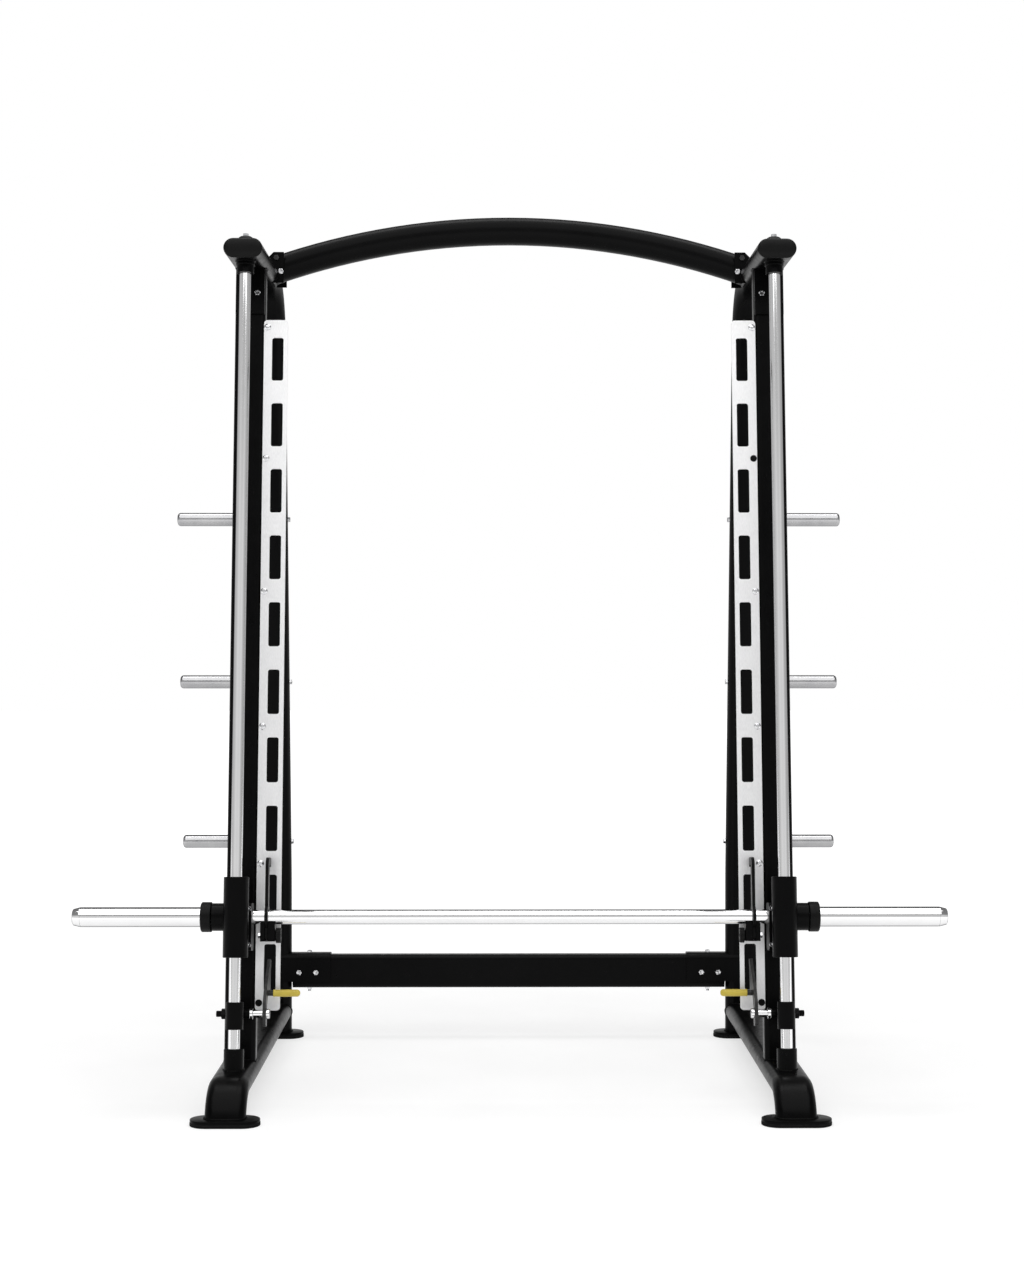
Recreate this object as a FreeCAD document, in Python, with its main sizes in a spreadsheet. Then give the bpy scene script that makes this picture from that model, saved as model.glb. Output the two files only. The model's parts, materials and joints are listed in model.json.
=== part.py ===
"""A smith machine: two leaning guide rods carry a turning bar between slotted catch plates.

World axes: X to the right, Y to the rear, Z up. The origin lies on the floor, midway between
the four feet. The rod axes lean to the rear by the angle "lean", so everything that follows
the rods is drawn in the rod frame: x across, y behind the rod axis, z along the rod, starting
where the rod axis meets the top of the base tube. Each sub-part is drawn on the right (+X)
and mirrored to the left.
"""
import FreeCAD
import Part
import Sketcher
import math
import os
import re

DIMENSIONS = {
    # side frames: flat-oval tube standing on four feet
    "half_gauge": 686, "lean": 7, "foot_reach": 575,
    "oval_width": 100, "oval_depth": 50, "tube_wall": 3,
    "foot_top": 16, "pad_height": 9, "foot_width": 170, "foot_depth": 85,
    "base_height": 75, "base_bend": 90,
    "knee_height": 480, "knee_bend": 500, "rear_lean": 6.7, "head_height": 2170, "head_bend": 160,
    "head_front": -222, "cap_face": 6, "cap_plug": 20,
    # guide rods and their sockets
    "rod_foot": -407, "rod_radius": 15, "rod_start": 4, "rod_finish": 2045,
    "fit_gap": 0.05, "end_gap": 0.5,
    "foot_socket_radius": 25, "foot_socket_height": 50,
    "head_socket_radius": 22.5, "head_socket_start": 2028,
    "head_flange_radius": 24.5, "head_flange": 8,
    "head_washer_radius": 24, "head_washer_top": 13, "head_washer": 17,
    # front uprights with slotted plates
    "upright_width": 80, "upright_depth": 50, "upright_corner": 12, "upright_front": 118,
    "saddle_width": 76, "saddle_start": 1953, "saddle_plate": 6,
    "saddle_bolt_gap": 20, "saddle_bolt_height": 2009,
    "plate_centre": 616.5, "plate_width": 63, "plate_thick": 6, "plate_corner": 9,
    "plate_start": 138.5, "plate_length": 1797,
    "slot_centre": 611.5, "slot_width": 30.5, "slot_height": 116, "slot_corner": 6,
    "slot_pitch": 175.9, "slot_margin": 50.75, "slot_count": 10,
    "rail_inner": 630, "rail_depth": 20,
    "plate_bolt_x": 638.5, "plate_bolt_margin": 19, "plate_bolt_length": 22,
    # arch over the top and beam across the back
    "arch_depth": 220, "arch_radius": 38, "arch_chord": 621, "arch_rise": 100,
    "arch_end_height": 2195, "arch_end": 642, "arch_web": 650,
    "cheek_inner": 620, "cheek_outer": 662, "cheek_low": 2146, "cheek_high": 2230,
    "cheek_plate": 6, "cheek_gap": 0.3, "cheek_chamfer": 14,
    "arch_pin_x": 627.5, "arch_pin_z": 2176, "arch_clamp_x": 640, "arch_clamp_z": 2214,
    "beam_height": 96, "beam_depth": 50, "beam_corner": 14, "beam_centre": 194, "beam_end": 632,
    "bracket_inner": 521, "bracket_plate": 5, "bracket_height": 82, "beam_bolt_height": 193,
    "beam_bolt_outer": 612, "beam_bolt_inner": 563, "beam_bolt_upright": 584,
    # plate storage horns
    "horn_radius": 19, "horn_end": 952, "horn_round": 9, "horn_low": 574, "horn_pitch": 468,
    "horn_bolt_depth": 40, "horn_shoulder": 23, "horn_shoulder_end": 750,
    # fasteners: hexagon circumradius, head height, shank radius and length beyond what they clamp
    "hex_radius": 7.8, "hex_height": 6.5, "bolt_radius": 4.5, "bolt_spare": 12,
    "button_radius": 8.75, "button_height": 5, "button_shank": 4,
    "screw_head": 6, "screw_shank": 3, "screw_length": 14,
    # carriages on the rods
    "carriage_radius": 31.5, "carriage_bore": 22.5, "carriage_start": 274, "carriage_length": 200,
    "bearing_length": 64, "wiper_length": 5, "wiper_lip": 15.4,
    "housing_radius": 34.8, "housing_inner": 661, "housing_outer": 752.5, "housing_bore": 26,
    "bar_bearing_length": 26,
    "stop_plate": 10, "stop_drop": 84, "stop_across": 59, "stop_corner": 12, "stop_clear": 1,
    "stop_screw_rise": 21, "stop_screw_drop": 69,
    # bar
    "bar_offset": 62, "bar_height": 374, "bar_radius": 18.5, "bar_reach": 1080,
    "collar_radius": 37.8, "collar_start": 753.5, "collar_width": 27,
    "sleeve_radius": 25, "sleeve_end": 1084, "bar_end": 1105, "bar_tip_radius": 19,
    # hooks on the bar
    "hook_inner": 611, "hook_thick": 8, "hook_ring": 30, "hook_arm": 26, "hook_top": 150,
    "hook_tip": 48, "hook_tip_width": 15, "hook_tip_drop": 24, "hook_lip": 5, "hook_corner": 5,
    "hook_lip_corner": 2, "hook_bend": 22, "hook_tail": 58, "hook_tail_width": 28,
    "hook_bolt_drop": 46,
    "block_inner": 593, "block_outer": 630, "block_depth": 36, "block_top": 14, "block_drop": 61,
    "block_gap": 0.3, "knob_radius": 19, "knob_width": 15, "knob_recess": 2,
    # safety catches on the rods
    "catch_radius": 22, "catch_length": 67, "collar_sag": 3, "liner_radius": 18,
    "pivot_offset": 40, "pivot_height": 134, "pivot_radius": 8, "pivot_end": 736,
    "pivot_head_end": 602, "pivot_head_radius": 12.5, "pivot_nut_radius": 14, "pivot_nut_width": 12,
    "boss_radius": 12, "boss_inner": 652, "boss_outer": 711, "neck_half_height": 11,
    "spacer_radius": 10, "spacer_flange_radius": 14, "spacer_flange": 8, "running_gap": 0.5,
    "catch_drop": 31, "catch_half_width": 15, "catch_reach": 45,
    "sill_clear": 0.5, "lip_gap": 4, "lip_drop": 5, "lip_corner": 1,
    "nose_y": 145, "nose_z": 268, "nose_width": 16, "nose_corner": 4,
    "grip_y": 76, "grip_z": 183.5, "grip_radius": 9.2,
    "grip_inner": 530, "grip_outer": 598, "grip_round": 8, "stub_radius": 7,
    # construction solids run this far past what they cut
    "overrun": 60,
}

SHEET = "Sizes"
NAMES = re.compile(r"\b(" + "|".join(sorted(DIMENSIONS, key=len, reverse=True)) + r")\b")
HORN_COUNT = 3
PLATE_BOLT_COUNT = 6
# the places of the black plate bolts, counted up from 0 at the foot of each plate
BLACK_BOLTS_RIGHT = (0, 4)
BLACK_BOLTS_LEFT = (0,)

# two points or faces closer than this, in millimetres, count as the same
NEAR = 1e-6
# an edge within this distance of a face, in millimetres, belongs to that face
AT_FACE = 1

doc = FreeCAD.newDocument("smith_machine")
sheet = doc.addObject("Spreadsheet::Sheet", SHEET)
for row, (alias, value) in enumerate(DIMENSIONS.items(), start=1):
    sheet.set("A%d" % row, alias)
    sheet.set("B%d" % row, str(value))
    sheet.setAlias("B%d" % row, alias)
doc.recompute()

sub_parts = []


# ---------------------------------------------------------------- links to the sheet

def linked(expression):
    """Point every dimension name in an expression at its cell."""
    return NAMES.sub(SHEET + r".\1", str(expression))


def size(expression):
    """The value of an expression of dimension names, in millimetres or degrees."""
    return float(doc.getObject(SHEET).evalExpression(linked(expression)))


def bind(thing, **links):
    """Link properties of a document object to expressions of dimension names."""
    for name, expression in links.items():
        thing.setExpression(name, linked(expression))
    return thing


TURNS = {
    "+x": FreeCAD.Rotation(FreeCAD.Vector(0, 1, 0), 90),
    "-x": FreeCAD.Rotation(FreeCAD.Vector(0, 1, 0), -90),
    "+y": FreeCAD.Rotation(FreeCAD.Vector(1, 0, 0), -90),
    "-y": FreeCAD.Rotation(FreeCAD.Vector(1, 0, 0), 90),
    "+z": FreeCAD.Rotation(),
    "-z": FreeCAD.Rotation(FreeCAD.Vector(1, 0, 0), 180),
}


def place(thing, at, points="+z"):
    """Put an object's own origin at a point, its own Z axis pointing along a world axis."""
    thing.Placement = FreeCAD.Placement(FreeCAD.Vector(), TURNS[points])
    for letter, expression in zip("xyz", at):
        thing.setExpression("Placement.Base." + letter, linked(expression))
    return thing


def leaning(*pieces):
    """Take pieces drawn in the rod frame into the world."""
    group = doc.addObject("Part::Compound", "leaning")
    group.Links = list(pieces)
    to_the_rear = FreeCAD.Rotation(FreeCAD.Vector(-1, 0, 0), size("lean"))
    group.Placement = FreeCAD.Placement(FreeCAD.Vector(), to_the_rear)
    group.setExpression("Placement.Base.y", linked("rod_foot"))
    group.setExpression("Placement.Base.z", linked("base_height + oval_depth / 2"))
    group.setExpression("Placement.Rotation.Angle", linked("lean * 1 deg"))
    return group


# ---------------------------------------------------------------- solids

def cylinder(radius, length, at, points="+z"):
    solid = doc.addObject("Part::Cylinder", "cylinder")
    bind(solid, Radius=radius, Height=length)
    return place(solid, at, points)


def box(low, high):
    """A box between two corners, each an (x, y, z) of expressions."""
    solid = doc.addObject("Part::Box", "box")
    spans = ["(%s) - (%s)" % (far, near) for near, far in zip(low, high)]
    bind(solid, Length=spans[0], Width=spans[1], Height=spans[2])
    return place(solid, low)


def hexagon(radius, length, at, points="+z"):
    solid = doc.addObject("Part::Prism", "hexagon")
    solid.Polygon = 6
    bind(solid, Circumradius=radius, Height=length)
    return place(solid, at, points)


def cut(base, *tools):
    """What is left of a solid once each tool is taken away."""
    for tool in tools:
        result = doc.addObject("Part::Cut", "cut")
        result.Base = base
        result.Tool = tool
        base = result
    return base


def fuse(*pieces):
    result = doc.addObject("Part::MultiFuse", "fuse")
    result.Shapes = list(pieces)
    result.Refine = True
    return result


def common(base, tool):
    result = doc.addObject("Part::Common", "common")
    result.Base = base
    result.Tool = tool
    return result


def ring(outer, inner, length, at, points="+z"):
    """A plain tube: outer and inner radius, length and where it starts."""
    reach = {"x": 0, "y": 1, "z": 2}[points[1]]
    start = list(at)
    start[reach] = "%s %s overrun" % (start[reach], "-" if points[0] == "+" else "+")
    bore = cylinder(inner, "%s + 2 * overrun" % length, start, points)
    return cut(cylinder(outer, length, at, points), bore)


def bolt(at, points, length, head="hex_radius", head_height="hex_height", shank="bolt_radius", nut=None):
    """A bolt whose head sits on a point and looks along an axis, with a nut at a distance if given."""
    back = {"+": "-", "-": "+"}[points[0]] + points[1]
    pieces = [fuse(hexagon(head, head_height, at, points), cylinder(shank, length, at, back))]
    if nut is not None:
        reach = {"x": 0, "y": 1, "z": 2}[points[1]]
        seat = list(at)
        seat[reach] = "%s %s (%s)" % (seat[reach], back[0], nut)
        blank = hexagon(head, head_height, seat, back)
        pieces.append(cut(blank, drill(at, points, length, shank)))
    return pieces


def drill(at, points, length, shank="bolt_radius"):
    """The hole that a bolt of the same place and length goes through."""
    back = {"+": "-", "-": "+"}[points[0]] + points[1]
    return cylinder("%s + fit_gap" % shank, length, at, back)


# ---------------------------------------------------------------- sketches and bodies

def plane_of(body, role):
    return next(plane for plane in body.Origin.OriginFeatures if plane.Role == role)


def sketch_on(body, role, name):
    sketch = body.newObject("Sketcher::SketchObject", name)
    sketch.AttachmentSupport = (plane_of(body, role), [""])
    sketch.MapMode = "FlatFace"
    return sketch


def constrain(sketch, kind, *arguments, link=None):
    """Add a constraint and, where it has a size, link the size to the sheet."""
    if link is None:
        return sketch.addConstraint(Sketcher.Constraint(kind, *arguments))
    index = sketch.addConstraint(Sketcher.Constraint(kind, *arguments, size(link)))
    sketch.setExpression("Constraints[%d]" % index, linked(link))
    return index


def arc(centre_x, centre_y, radius, start, end):
    circle = Part.Circle(FreeCAD.Vector(centre_x, centre_y, 0), FreeCAD.Vector(0, 0, 1), radius)
    return Part.ArcOfCircle(circle, math.radians(start), math.radians(end))


def line(x1, y1, x2, y2):
    return Part.LineSegment(FreeCAD.Vector(x1, y1, 0), FreeCAD.Vector(x2, y2, 0))


def racetrack(sketch, width, depth):
    """A flat oval centred on the sketch's origin, its long way along the sketch's X."""
    radius = size("(%s) / 2" % depth)
    reach = size("(%s) / 2 - (%s) / 2" % (width, depth))
    top, right, bottom, left = sketch.addGeometry([
        line(-reach, radius, reach, radius), arc(reach, 0, radius, -90, 90),
        line(reach, -radius, -reach, -radius), arc(-reach, 0, radius, 90, 270)])
    joins = ((top, 2, right, 2), (right, 1, bottom, 1), (bottom, 2, left, 2), (left, 1, top, 1))
    for first, end, second, start in joins:
        constrain(sketch, "Tangent", first, end, second, start)
    constrain(sketch, "Equal", right, left)
    constrain(sketch, "PointOnObject", right, 3, -1)
    constrain(sketch, "Symmetric", right, 3, left, 3, -1, 1)
    constrain(sketch, "DistanceX", -1, 1, right, 3, link="(%s) / 2 - (%s) / 2" % (width, depth))
    constrain(sketch, "Radius", right, link="(%s) / 2" % depth)


def rounded_rectangle(sketch, width, height, corner):
    """A rectangle with round corners, centred on the sketch's origin."""
    radius = size(corner)
    half_x, half_y = size("(%s) / 2" % width), size("(%s) / 2" % height)
    reach_x, reach_y = half_x - radius, half_y - radius
    sides = sketch.addGeometry([
        line(-reach_x, -half_y, reach_x, -half_y), arc(reach_x, -reach_y, radius, -90, 0),
        line(half_x, -reach_y, half_x, reach_y), arc(reach_x, reach_y, radius, 0, 90),
        line(reach_x, half_y, -reach_x, half_y), arc(-reach_x, reach_y, radius, 90, 180),
        line(-half_x, reach_y, -half_x, -reach_y), arc(-reach_x, -reach_y, radius, 180, 270)])
    for index, side in enumerate(sides):
        constrain(sketch, "Tangent", side, 2, sides[(index + 1) % len(sides)], 1)
    for flat, kind in zip(sides[::2], ("Horizontal", "Vertical", "Horizontal", "Vertical")):
        constrain(sketch, kind, flat)
    for round_corner in sides[3::2]:
        constrain(sketch, "Equal", sides[1], round_corner)
    constrain(sketch, "Symmetric", sides[3], 3, sides[7], 3, -1, 1)
    constrain(sketch, "DistanceX", -1, 1, sides[3], 3, link="(%s) / 2 - (%s)" % (width, corner))
    constrain(sketch, "DistanceY", -1, 1, sides[3], 3, link="(%s) / 2 - (%s)" % (height, corner))
    constrain(sketch, "Radius", sides[1], link=corner)


def pad(body, sketch, length):
    feature = body.newObject("PartDesign::Pad", "pad")
    feature.Profile = sketch
    bind(feature, Length=length)
    return feature


def oval_plate(name, width, depth, thickness, at):
    """A flat-oval plate lying on its own origin."""
    body = doc.addObject("PartDesign::Body", name)
    sketch = sketch_on(body, "XY_Plane", name + "_outline")
    racetrack(sketch, width, depth)
    pad(body, sketch, thickness)
    return place(body, at)


def rounded_bar(name, width, height, corner, length, at, points="+z"):
    """A straight solid bar with a rounded rectangular section."""
    body = doc.addObject("PartDesign::Body", name)
    sketch = sketch_on(body, "XY_Plane", name + "_section")
    rounded_rectangle(sketch, width, height, corner)
    pad(body, sketch, length)
    return place(body, at, points)


def swept_oval(name, width, depth, path):
    """A flat-oval section swept along a path that starts straight up or forward in the YZ plane."""
    section = doc.addObject("Sketcher::SketchObject", name + "_section")
    racetrack(section, width, depth)
    section.Placement = FreeCAD.Placement(path.Shape.Edges[0].firstVertex().Point, FreeCAD.Rotation())
    sweep = doc.addObject("Part::Sweep", name)
    sweep.Sections = [section]
    sweep.Spine = (path, ["Edge%d" % (index + 1) for index in range(len(path.Shape.Edges))])
    sweep.Solid = True
    return sweep


def bent_path(name, corners, bends):
    """Straight runs between corners in the YZ plane, each inner corner rounded by its bend radius."""
    points = [FreeCAD.Vector(size("half_gauge"), y, z) for y, z in corners]
    edges = []
    start = points[0]
    for corner, following, bend in zip(points[1:-1], points[2:], bends):
        before = (start - corner).normalize()
        after = (following - corner).normalize()
        half_turn = (math.pi - before.getAngle(after)) / 2
        tangent = bend * math.tan(half_turn)
        enter = corner + before * tangent
        leave = corner + after * tangent
        centre = corner + (before + after).normalize() * (bend / math.cos(half_turn))
        middle = centre + (corner - centre).normalize() * bend
        if enter.distanceToPoint(start) > NEAR:
            edges.append(Part.makeLine(start, enter))
        edges.append(Part.Arc(enter, middle, leave).toShape())
        start = leave
    edges.append(Part.makeLine(start, points[-1]))
    path = doc.addObject("Part::Feature", name)
    path.Shape = Part.Wire(edges)
    return path


def flat_outline(name, outline, thick, at_x):
    """A flat piece standing in the YZ plane: a wire of edges, pushed along X by its thickness."""
    piece = doc.addObject("Part::Feature", name)
    face = Part.Face(Part.Wire(Part.__sortEdges__(outline)))
    piece.Shape = face.extrude(FreeCAD.Vector(size(thick), 0, 0))
    return bind(piece, **{"Placement.Base.x": at_x})


# ---------------------------------------------------------------- naming the sub-parts

def publish(piece, label):
    piece.Label = label
    sub_parts.append(piece)


def mirrored(piece):
    mirror = doc.addObject("Part::Mirroring", "mirrored")
    mirror.Source = piece
    mirror.Normal = FreeCAD.Vector(1, 0, 0)
    return mirror


def both_sides(piece, name):
    """One node on each side."""
    publish(piece, "right_" + name)
    publish(mirrored(piece), "left_" + name)


def grouped(name, *pieces):
    """One node that holds several separate solids."""
    group = doc.addObject("Part::Compound", name + "_group")
    group.Links = list(pieces)
    publish(group, name)


def mirrored_group(name, *pieces):
    """One node that holds the same solids on both sides."""
    grouped(name, *pieces, *[mirrored(piece) for piece in pieces])


# ---------------------------------------------------------------- side frames

BASE_TOP = "base_height + oval_depth / 2"
HEAD_TOP = "head_height + oval_depth / 2"
INNER_OVAL = ("oval_width - 2 * tube_wall", "oval_depth - 2 * tube_wall")

head_corner_y = size("foot_reach - (head_height - knee_height) * tan(rear_lean)")
rear_path = bent_path(
    "rear_frame_path",
    [(size("foot_reach"), size("foot_top")), (size("foot_reach"), size("knee_height")),
     (head_corner_y, size("head_height")), (size("head_front + cap_face"), size("head_height"))],
    [size("knee_bend"), size("head_bend")])
base_path = bent_path(
    "base_path",
    [(-size("foot_reach"), -size("overrun")), (-size("foot_reach"), size("base_height")),
     (size("foot_reach"), size("base_height"))],
    [size("base_bend")])

rear_outer = swept_oval("rear_frame_outer", "oval_width", "oval_depth", rear_path)
rear_inner = swept_oval("rear_frame_inner", *INNER_OVAL, rear_path)
base_outer = swept_oval("base_tube_outer", "oval_width", "oval_depth", base_path)
base_inner = swept_oval("base_tube_inner", *INNER_OVAL, base_path)

# a bolt down through the front end of the head tube into each rod's upper socket
head_bolt_at = (
    "half_gauge",
    "rod_foot + (%s - (%s)) * tan(lean)" % (HEAD_TOP, BASE_TOP),
    HEAD_TOP + " + head_washer")
head_bolt_length = "oval_depth + head_washer + bolt_spare"

horn_heights = ["horn_low + %d * horn_pitch" % step for step in range(HORN_COUNT)]
horn_places = [
    ("half_gauge - oval_width / 2", "foot_reach - (%s - knee_height) * tan(rear_lean)" % height, height)
    for height in horn_heights]
horn_bolt_length = "oval_width + horn_bolt_depth"

rear_drills = [
    drill((at[0] + " - overrun", *at[1:]), "-x", horn_bolt_length + " + overrun") for at in horn_places]
head_drill = drill(head_bolt_at, "+z", head_bolt_length)
rear_drills.append(head_drill)
both_sides(cut(rear_outer, rear_inner, *rear_drills), "rear_frame")
above_feet = box(("0", "-2 * foot_reach", "foot_top"), ("2 * half_gauge", "2 * foot_reach", "head_height"))
both_sides(common(cut(base_outer, base_inner, rear_outer), above_feet), "base_tube")

cap_at = ("half_gauge", "head_front + cap_face", "head_height")
cap_face = oval_plate("cap_face", "oval_width", "oval_depth", "cap_face", cap_at)
place(cap_face, cap_at, "-y")
plug_oval = [inner + " - 2 * fit_gap" for inner in INNER_OVAL]
cap_plug = oval_plate("cap_plug", *plug_oval, "cap_plug", cap_at)
place(cap_plug, cap_at, "+y")
mirrored_group("top_end_caps", fuse(cap_face, cap_plug))

feet, pads = [], []
for foot_y in ("-foot_reach", "foot_reach"):
    foot_at = ("half_gauge", foot_y, "pad_height")
    pad_at = ("half_gauge", foot_y, "0")
    feet.append(oval_plate("foot_plate", "foot_width", "foot_depth", "foot_top - pad_height", foot_at))
    pads.append(oval_plate("foot_pad", "foot_width", "foot_depth", "pad_height", pad_at))
mirrored_group("foot_plates", *feet)
mirrored_group("foot_pads", *pads)


# ---------------------------------------------------------------- front uprights and slotted plates

UPRIGHT_MIDDLE = "upright_front + upright_depth / 2"
upright_at = ("half_gauge", UPRIGHT_MIDDLE, "-overrun")
upright_run = "rod_finish + 2 * overrun"


def upright_solid(name, growth):
    """A solid along the upright, its section larger all round by a growth."""
    return rounded_bar(name, "upright_width + 2 * %s" % growth, "upright_depth + 2 * %s" % growth,
                       "upright_corner + %s" % growth, upright_run, upright_at)


upright_blank = upright_solid("upright", "0")
upright_bore = upright_solid("upright_bore", "(-tube_wall)")
upright_seat = upright_solid("upright_seat", "fit_gap")

saddle_front = "upright_front - saddle_plate"
saddle_bolts_at = [
    ("half_gauge %s saddle_bolt_gap" % sign, saddle_front, "saddle_bolt_height") for sign in "-+"]
saddle_grip = "upright_depth + saddle_plate"
saddle_bolt_length = saddle_grip + " + bolt_spare"
saddle_drills = [drill(at, "-y", saddle_bolt_length) for at in saddle_bolts_at]

between_tubes = box(
    ("0", "-foot_reach", "base_height"), ("2 * half_gauge", "foot_reach", "head_height"))
upright = leaning(cut(upright_blank, upright_bore, *saddle_drills))
both_sides(cut(common(upright, between_tubes), base_outer, rear_outer), "front_upright")

saddle_blank = box(
    ("half_gauge - saddle_width / 2", saddle_front, "saddle_start"),
    ("half_gauge + saddle_width / 2", UPRIGHT_MIDDLE, "rod_finish + overrun"))
saddle = leaning(cut(saddle_blank, upright_seat, *saddle_drills))
mirrored_group("upright_brackets", cut(common(saddle, between_tubes), rear_outer))
mirrored_group("upright_bolts", leaning(*[
    piece for at in saddle_bolts_at for piece in bolt(at, "-y", saddle_bolt_length, nut=saddle_grip)]))

plate_bolts_at = [
    ("plate_bolt_x", saddle_front, "plate_start + plate_bolt_margin + %d * 2 * slot_pitch" % step)
    for step in range(PLATE_BOLT_COUNT)]


def slot_plate():
    """The flat plate with its ladder of slots, drawn on its back face."""
    body = doc.addObject("PartDesign::Body", "slot_plate")
    outline = sketch_on(body, "XZ_Plane", "plate_outline")
    rounded_rectangle(outline, "plate_width", "plate_length", "plate_corner")
    pad(body, outline, "plate_thick")
    doc.recompute()
    solid_volume = body.Shape.Volume
    slot = sketch_on(body, "XZ_Plane", "lowest_slot")
    rounded_rectangle(slot, "slot_width", "slot_height", "slot_corner")
    slot.setExpression("AttachmentOffset.Base.x", linked("slot_centre - plate_centre"))
    slot_rise = "slot_margin + slot_height / 2 - plate_length / 2"
    slot.setExpression("AttachmentOffset.Base.y", linked(slot_rise))
    pocket = body.newObject("PartDesign::Pocket", "slot")
    pocket.Profile = slot
    pocket.Type = "ThroughAll"
    pocket.Reversed = True
    doc.recompute()
    if body.Shape.Volume >= solid_volume:
        raise RuntimeError("the slot pocket points away from the plate")
    ladder = body.newObject("PartDesign::LinearPattern", "ladder")
    ladder.Originals = [pocket]
    ladder.Direction = (outline, ["V_Axis"])
    bind(ladder, Length="slot_pitch * (slot_count - 1)", Occurrences="slot_count")
    body.Tip = ladder
    return place(body, ("plate_centre", "upright_front", "plate_start + plate_length / 2"))


plate_drills = [drill(at, "-y", "plate_bolt_length", "button_shank") for at in plate_bolts_at]
both_sides(leaning(cut(slot_plate(), *plate_drills)), "slot_plate")

rail = box(
    ("rail_inner", "upright_front", "plate_start + plate_corner"),
    ("half_gauge - upright_width / 2", "upright_front + rail_depth",
     "plate_start + plate_length - plate_corner"))
mirrored_group("slot_plate_rails", leaning(cut(rail, *plate_drills)))

buttons = [
    leaning(fuse(cylinder("button_radius", "button_height", at, "-y"),
                 cylinder("button_shank", "plate_bolt_length", at, "+y")))
    for at in plate_bolts_at]
bright, black = [], []
for step, button in enumerate(buttons):
    (black if step in BLACK_BOLTS_RIGHT else bright).append(button)
    (black if step in BLACK_BOLTS_LEFT else bright).append(mirrored(button))
grouped("slot_plate_bolts", *bright)
grouped("slot_plate_black_bolts", *black)


# ---------------------------------------------------------------- guide rods and sockets

rod = cylinder("rod_radius", "rod_finish - rod_start", ("half_gauge", "0", "rod_start"))
both_sides(leaning(rod), "guide_rod")

foot_socket = ring("foot_socket_radius", "rod_radius + fit_gap", "foot_socket_height + overrun",
                   ("half_gauge", "0", "-overrun"))
above_base = box(("0", "-foot_reach", BASE_TOP), ("2 * half_gauge", "foot_reach", "head_height"))
mirrored_group("rod_foot_sockets", common(leaning(foot_socket), above_base))

head_socket = fuse(
    cylinder("head_socket_radius", "2 * overrun", ("half_gauge", "0", "head_socket_start")),
    cylinder("head_flange_radius", "2 * overrun", ("half_gauge", "0", "rod_finish + head_flange / 2")))
socket_bore = cylinder("rod_radius + fit_gap", "rod_finish + end_gap + overrun - head_socket_start",
                       ("half_gauge", "0", "head_socket_start - overrun"))
below_head = box(
    ("0", "-foot_reach", "0"), ("2 * half_gauge", "foot_reach", "head_height - oval_depth / 2"))
mirrored_group("rod_head_sockets", cut(
    common(leaning(cut(head_socket, socket_bore)), below_head), head_drill))

washer = doc.addObject("Part::Cone", "head_washer")
bind(washer, Radius1="head_washer_top", Radius2="head_washer_radius", Height="head_washer")
place(washer, head_bolt_at, "-z")
mirrored_group("rod_head_bolts", cut(washer, head_drill), *bolt(head_bolt_at, "+z", head_bolt_length))


# ---------------------------------------------------------------- storage horns

def round_bar(name, radius, length, end_round, at, points):
    """A round bar whose far end has a rounded rim."""
    body = doc.addObject("PartDesign::Body", name)
    sketch = sketch_on(body, "XY_Plane", name + "_section")
    circle = sketch.addGeometry(Part.Circle(FreeCAD.Vector(), FreeCAD.Vector(0, 0, 1), size(radius)))
    constrain(sketch, "Coincident", circle, 3, -1, 1)
    constrain(sketch, "Radius", circle, link=radius)
    stem = pad(body, sketch, length)
    doc.recompute()
    rim = next("Edge%d" % (index + 1) for index, edge in enumerate(stem.Shape.Edges)
               if len(edge.Vertexes) == 1 and edge.CenterOfMass.z > size(length) - AT_FACE)
    rounding = body.newObject("PartDesign::Fillet", "rim")
    rounding.Base = (stem, [rim])
    bind(rounding, Radius=end_round)
    return place(body, at, points)


horns, horn_bolts = [], []
for at in horn_places:
    stem_at = ("half_gauge", at[1], at[2])
    stem = round_bar("horn", "horn_radius", "horn_end - half_gauge", "horn_round", stem_at, "+x")
    shoulder = cylinder("horn_shoulder", "horn_shoulder_end - half_gauge", stem_at, "+x")
    horns.append(cut(fuse(stem, shoulder), rear_outer, drill(at, "-x", horn_bolt_length)))
    horn_bolts += bolt(at, "-x", horn_bolt_length)
grouped("right_storage_horns", *horns)
publish(mirrored(sub_parts[-1]), "left_storage_horns")
mirrored_group("horn_bolts", *horn_bolts)


# ---------------------------------------------------------------- arch and crossbeam

ARCH_SWEEP = "(arch_chord ^ 2 + arch_rise ^ 2) / (2 * arch_rise)"


def arch_ring(radius):
    """A full ring of tube standing across the machine; only its top is kept."""
    torus = doc.addObject("Part::Torus", "arch_ring")
    bind(torus, Radius1=ARCH_SWEEP, Radius2=radius)
    return place(torus, ("0", "arch_depth", "arch_end_height + arch_rise - " + ARCH_SWEEP), "-y")


cheek_span = "arch_radius + cheek_gap + cheek_plate"
arch_bolts_at = [
    ("%s * %s" % (side, x), "arch_depth - (%s)" % cheek_span, z) for side in ("1", "-1")
    for x, z in (("arch_pin_x", "arch_pin_z"), ("arch_clamp_x", "arch_clamp_z"))]
arch_grip = "2 * (%s)" % cheek_span
arch_bolt_length = arch_grip + " + bolt_spare"
arch_drills = [drill(at, "-y", arch_bolt_length) for at in arch_bolts_at]
arch_window = box(
    ("-arch_end", "0", "head_height - oval_depth"),
    ("arch_end", "2 * arch_depth", "arch_end_height + arch_rise + overrun"))
rear_outer_left = mirrored(rear_outer)
arch = common(cut(arch_ring("arch_radius"), arch_ring("arch_radius - tube_wall")), arch_window)
publish(cut(arch, rear_outer, rear_outer_left, *arch_drills), "arch_tube")


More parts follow.
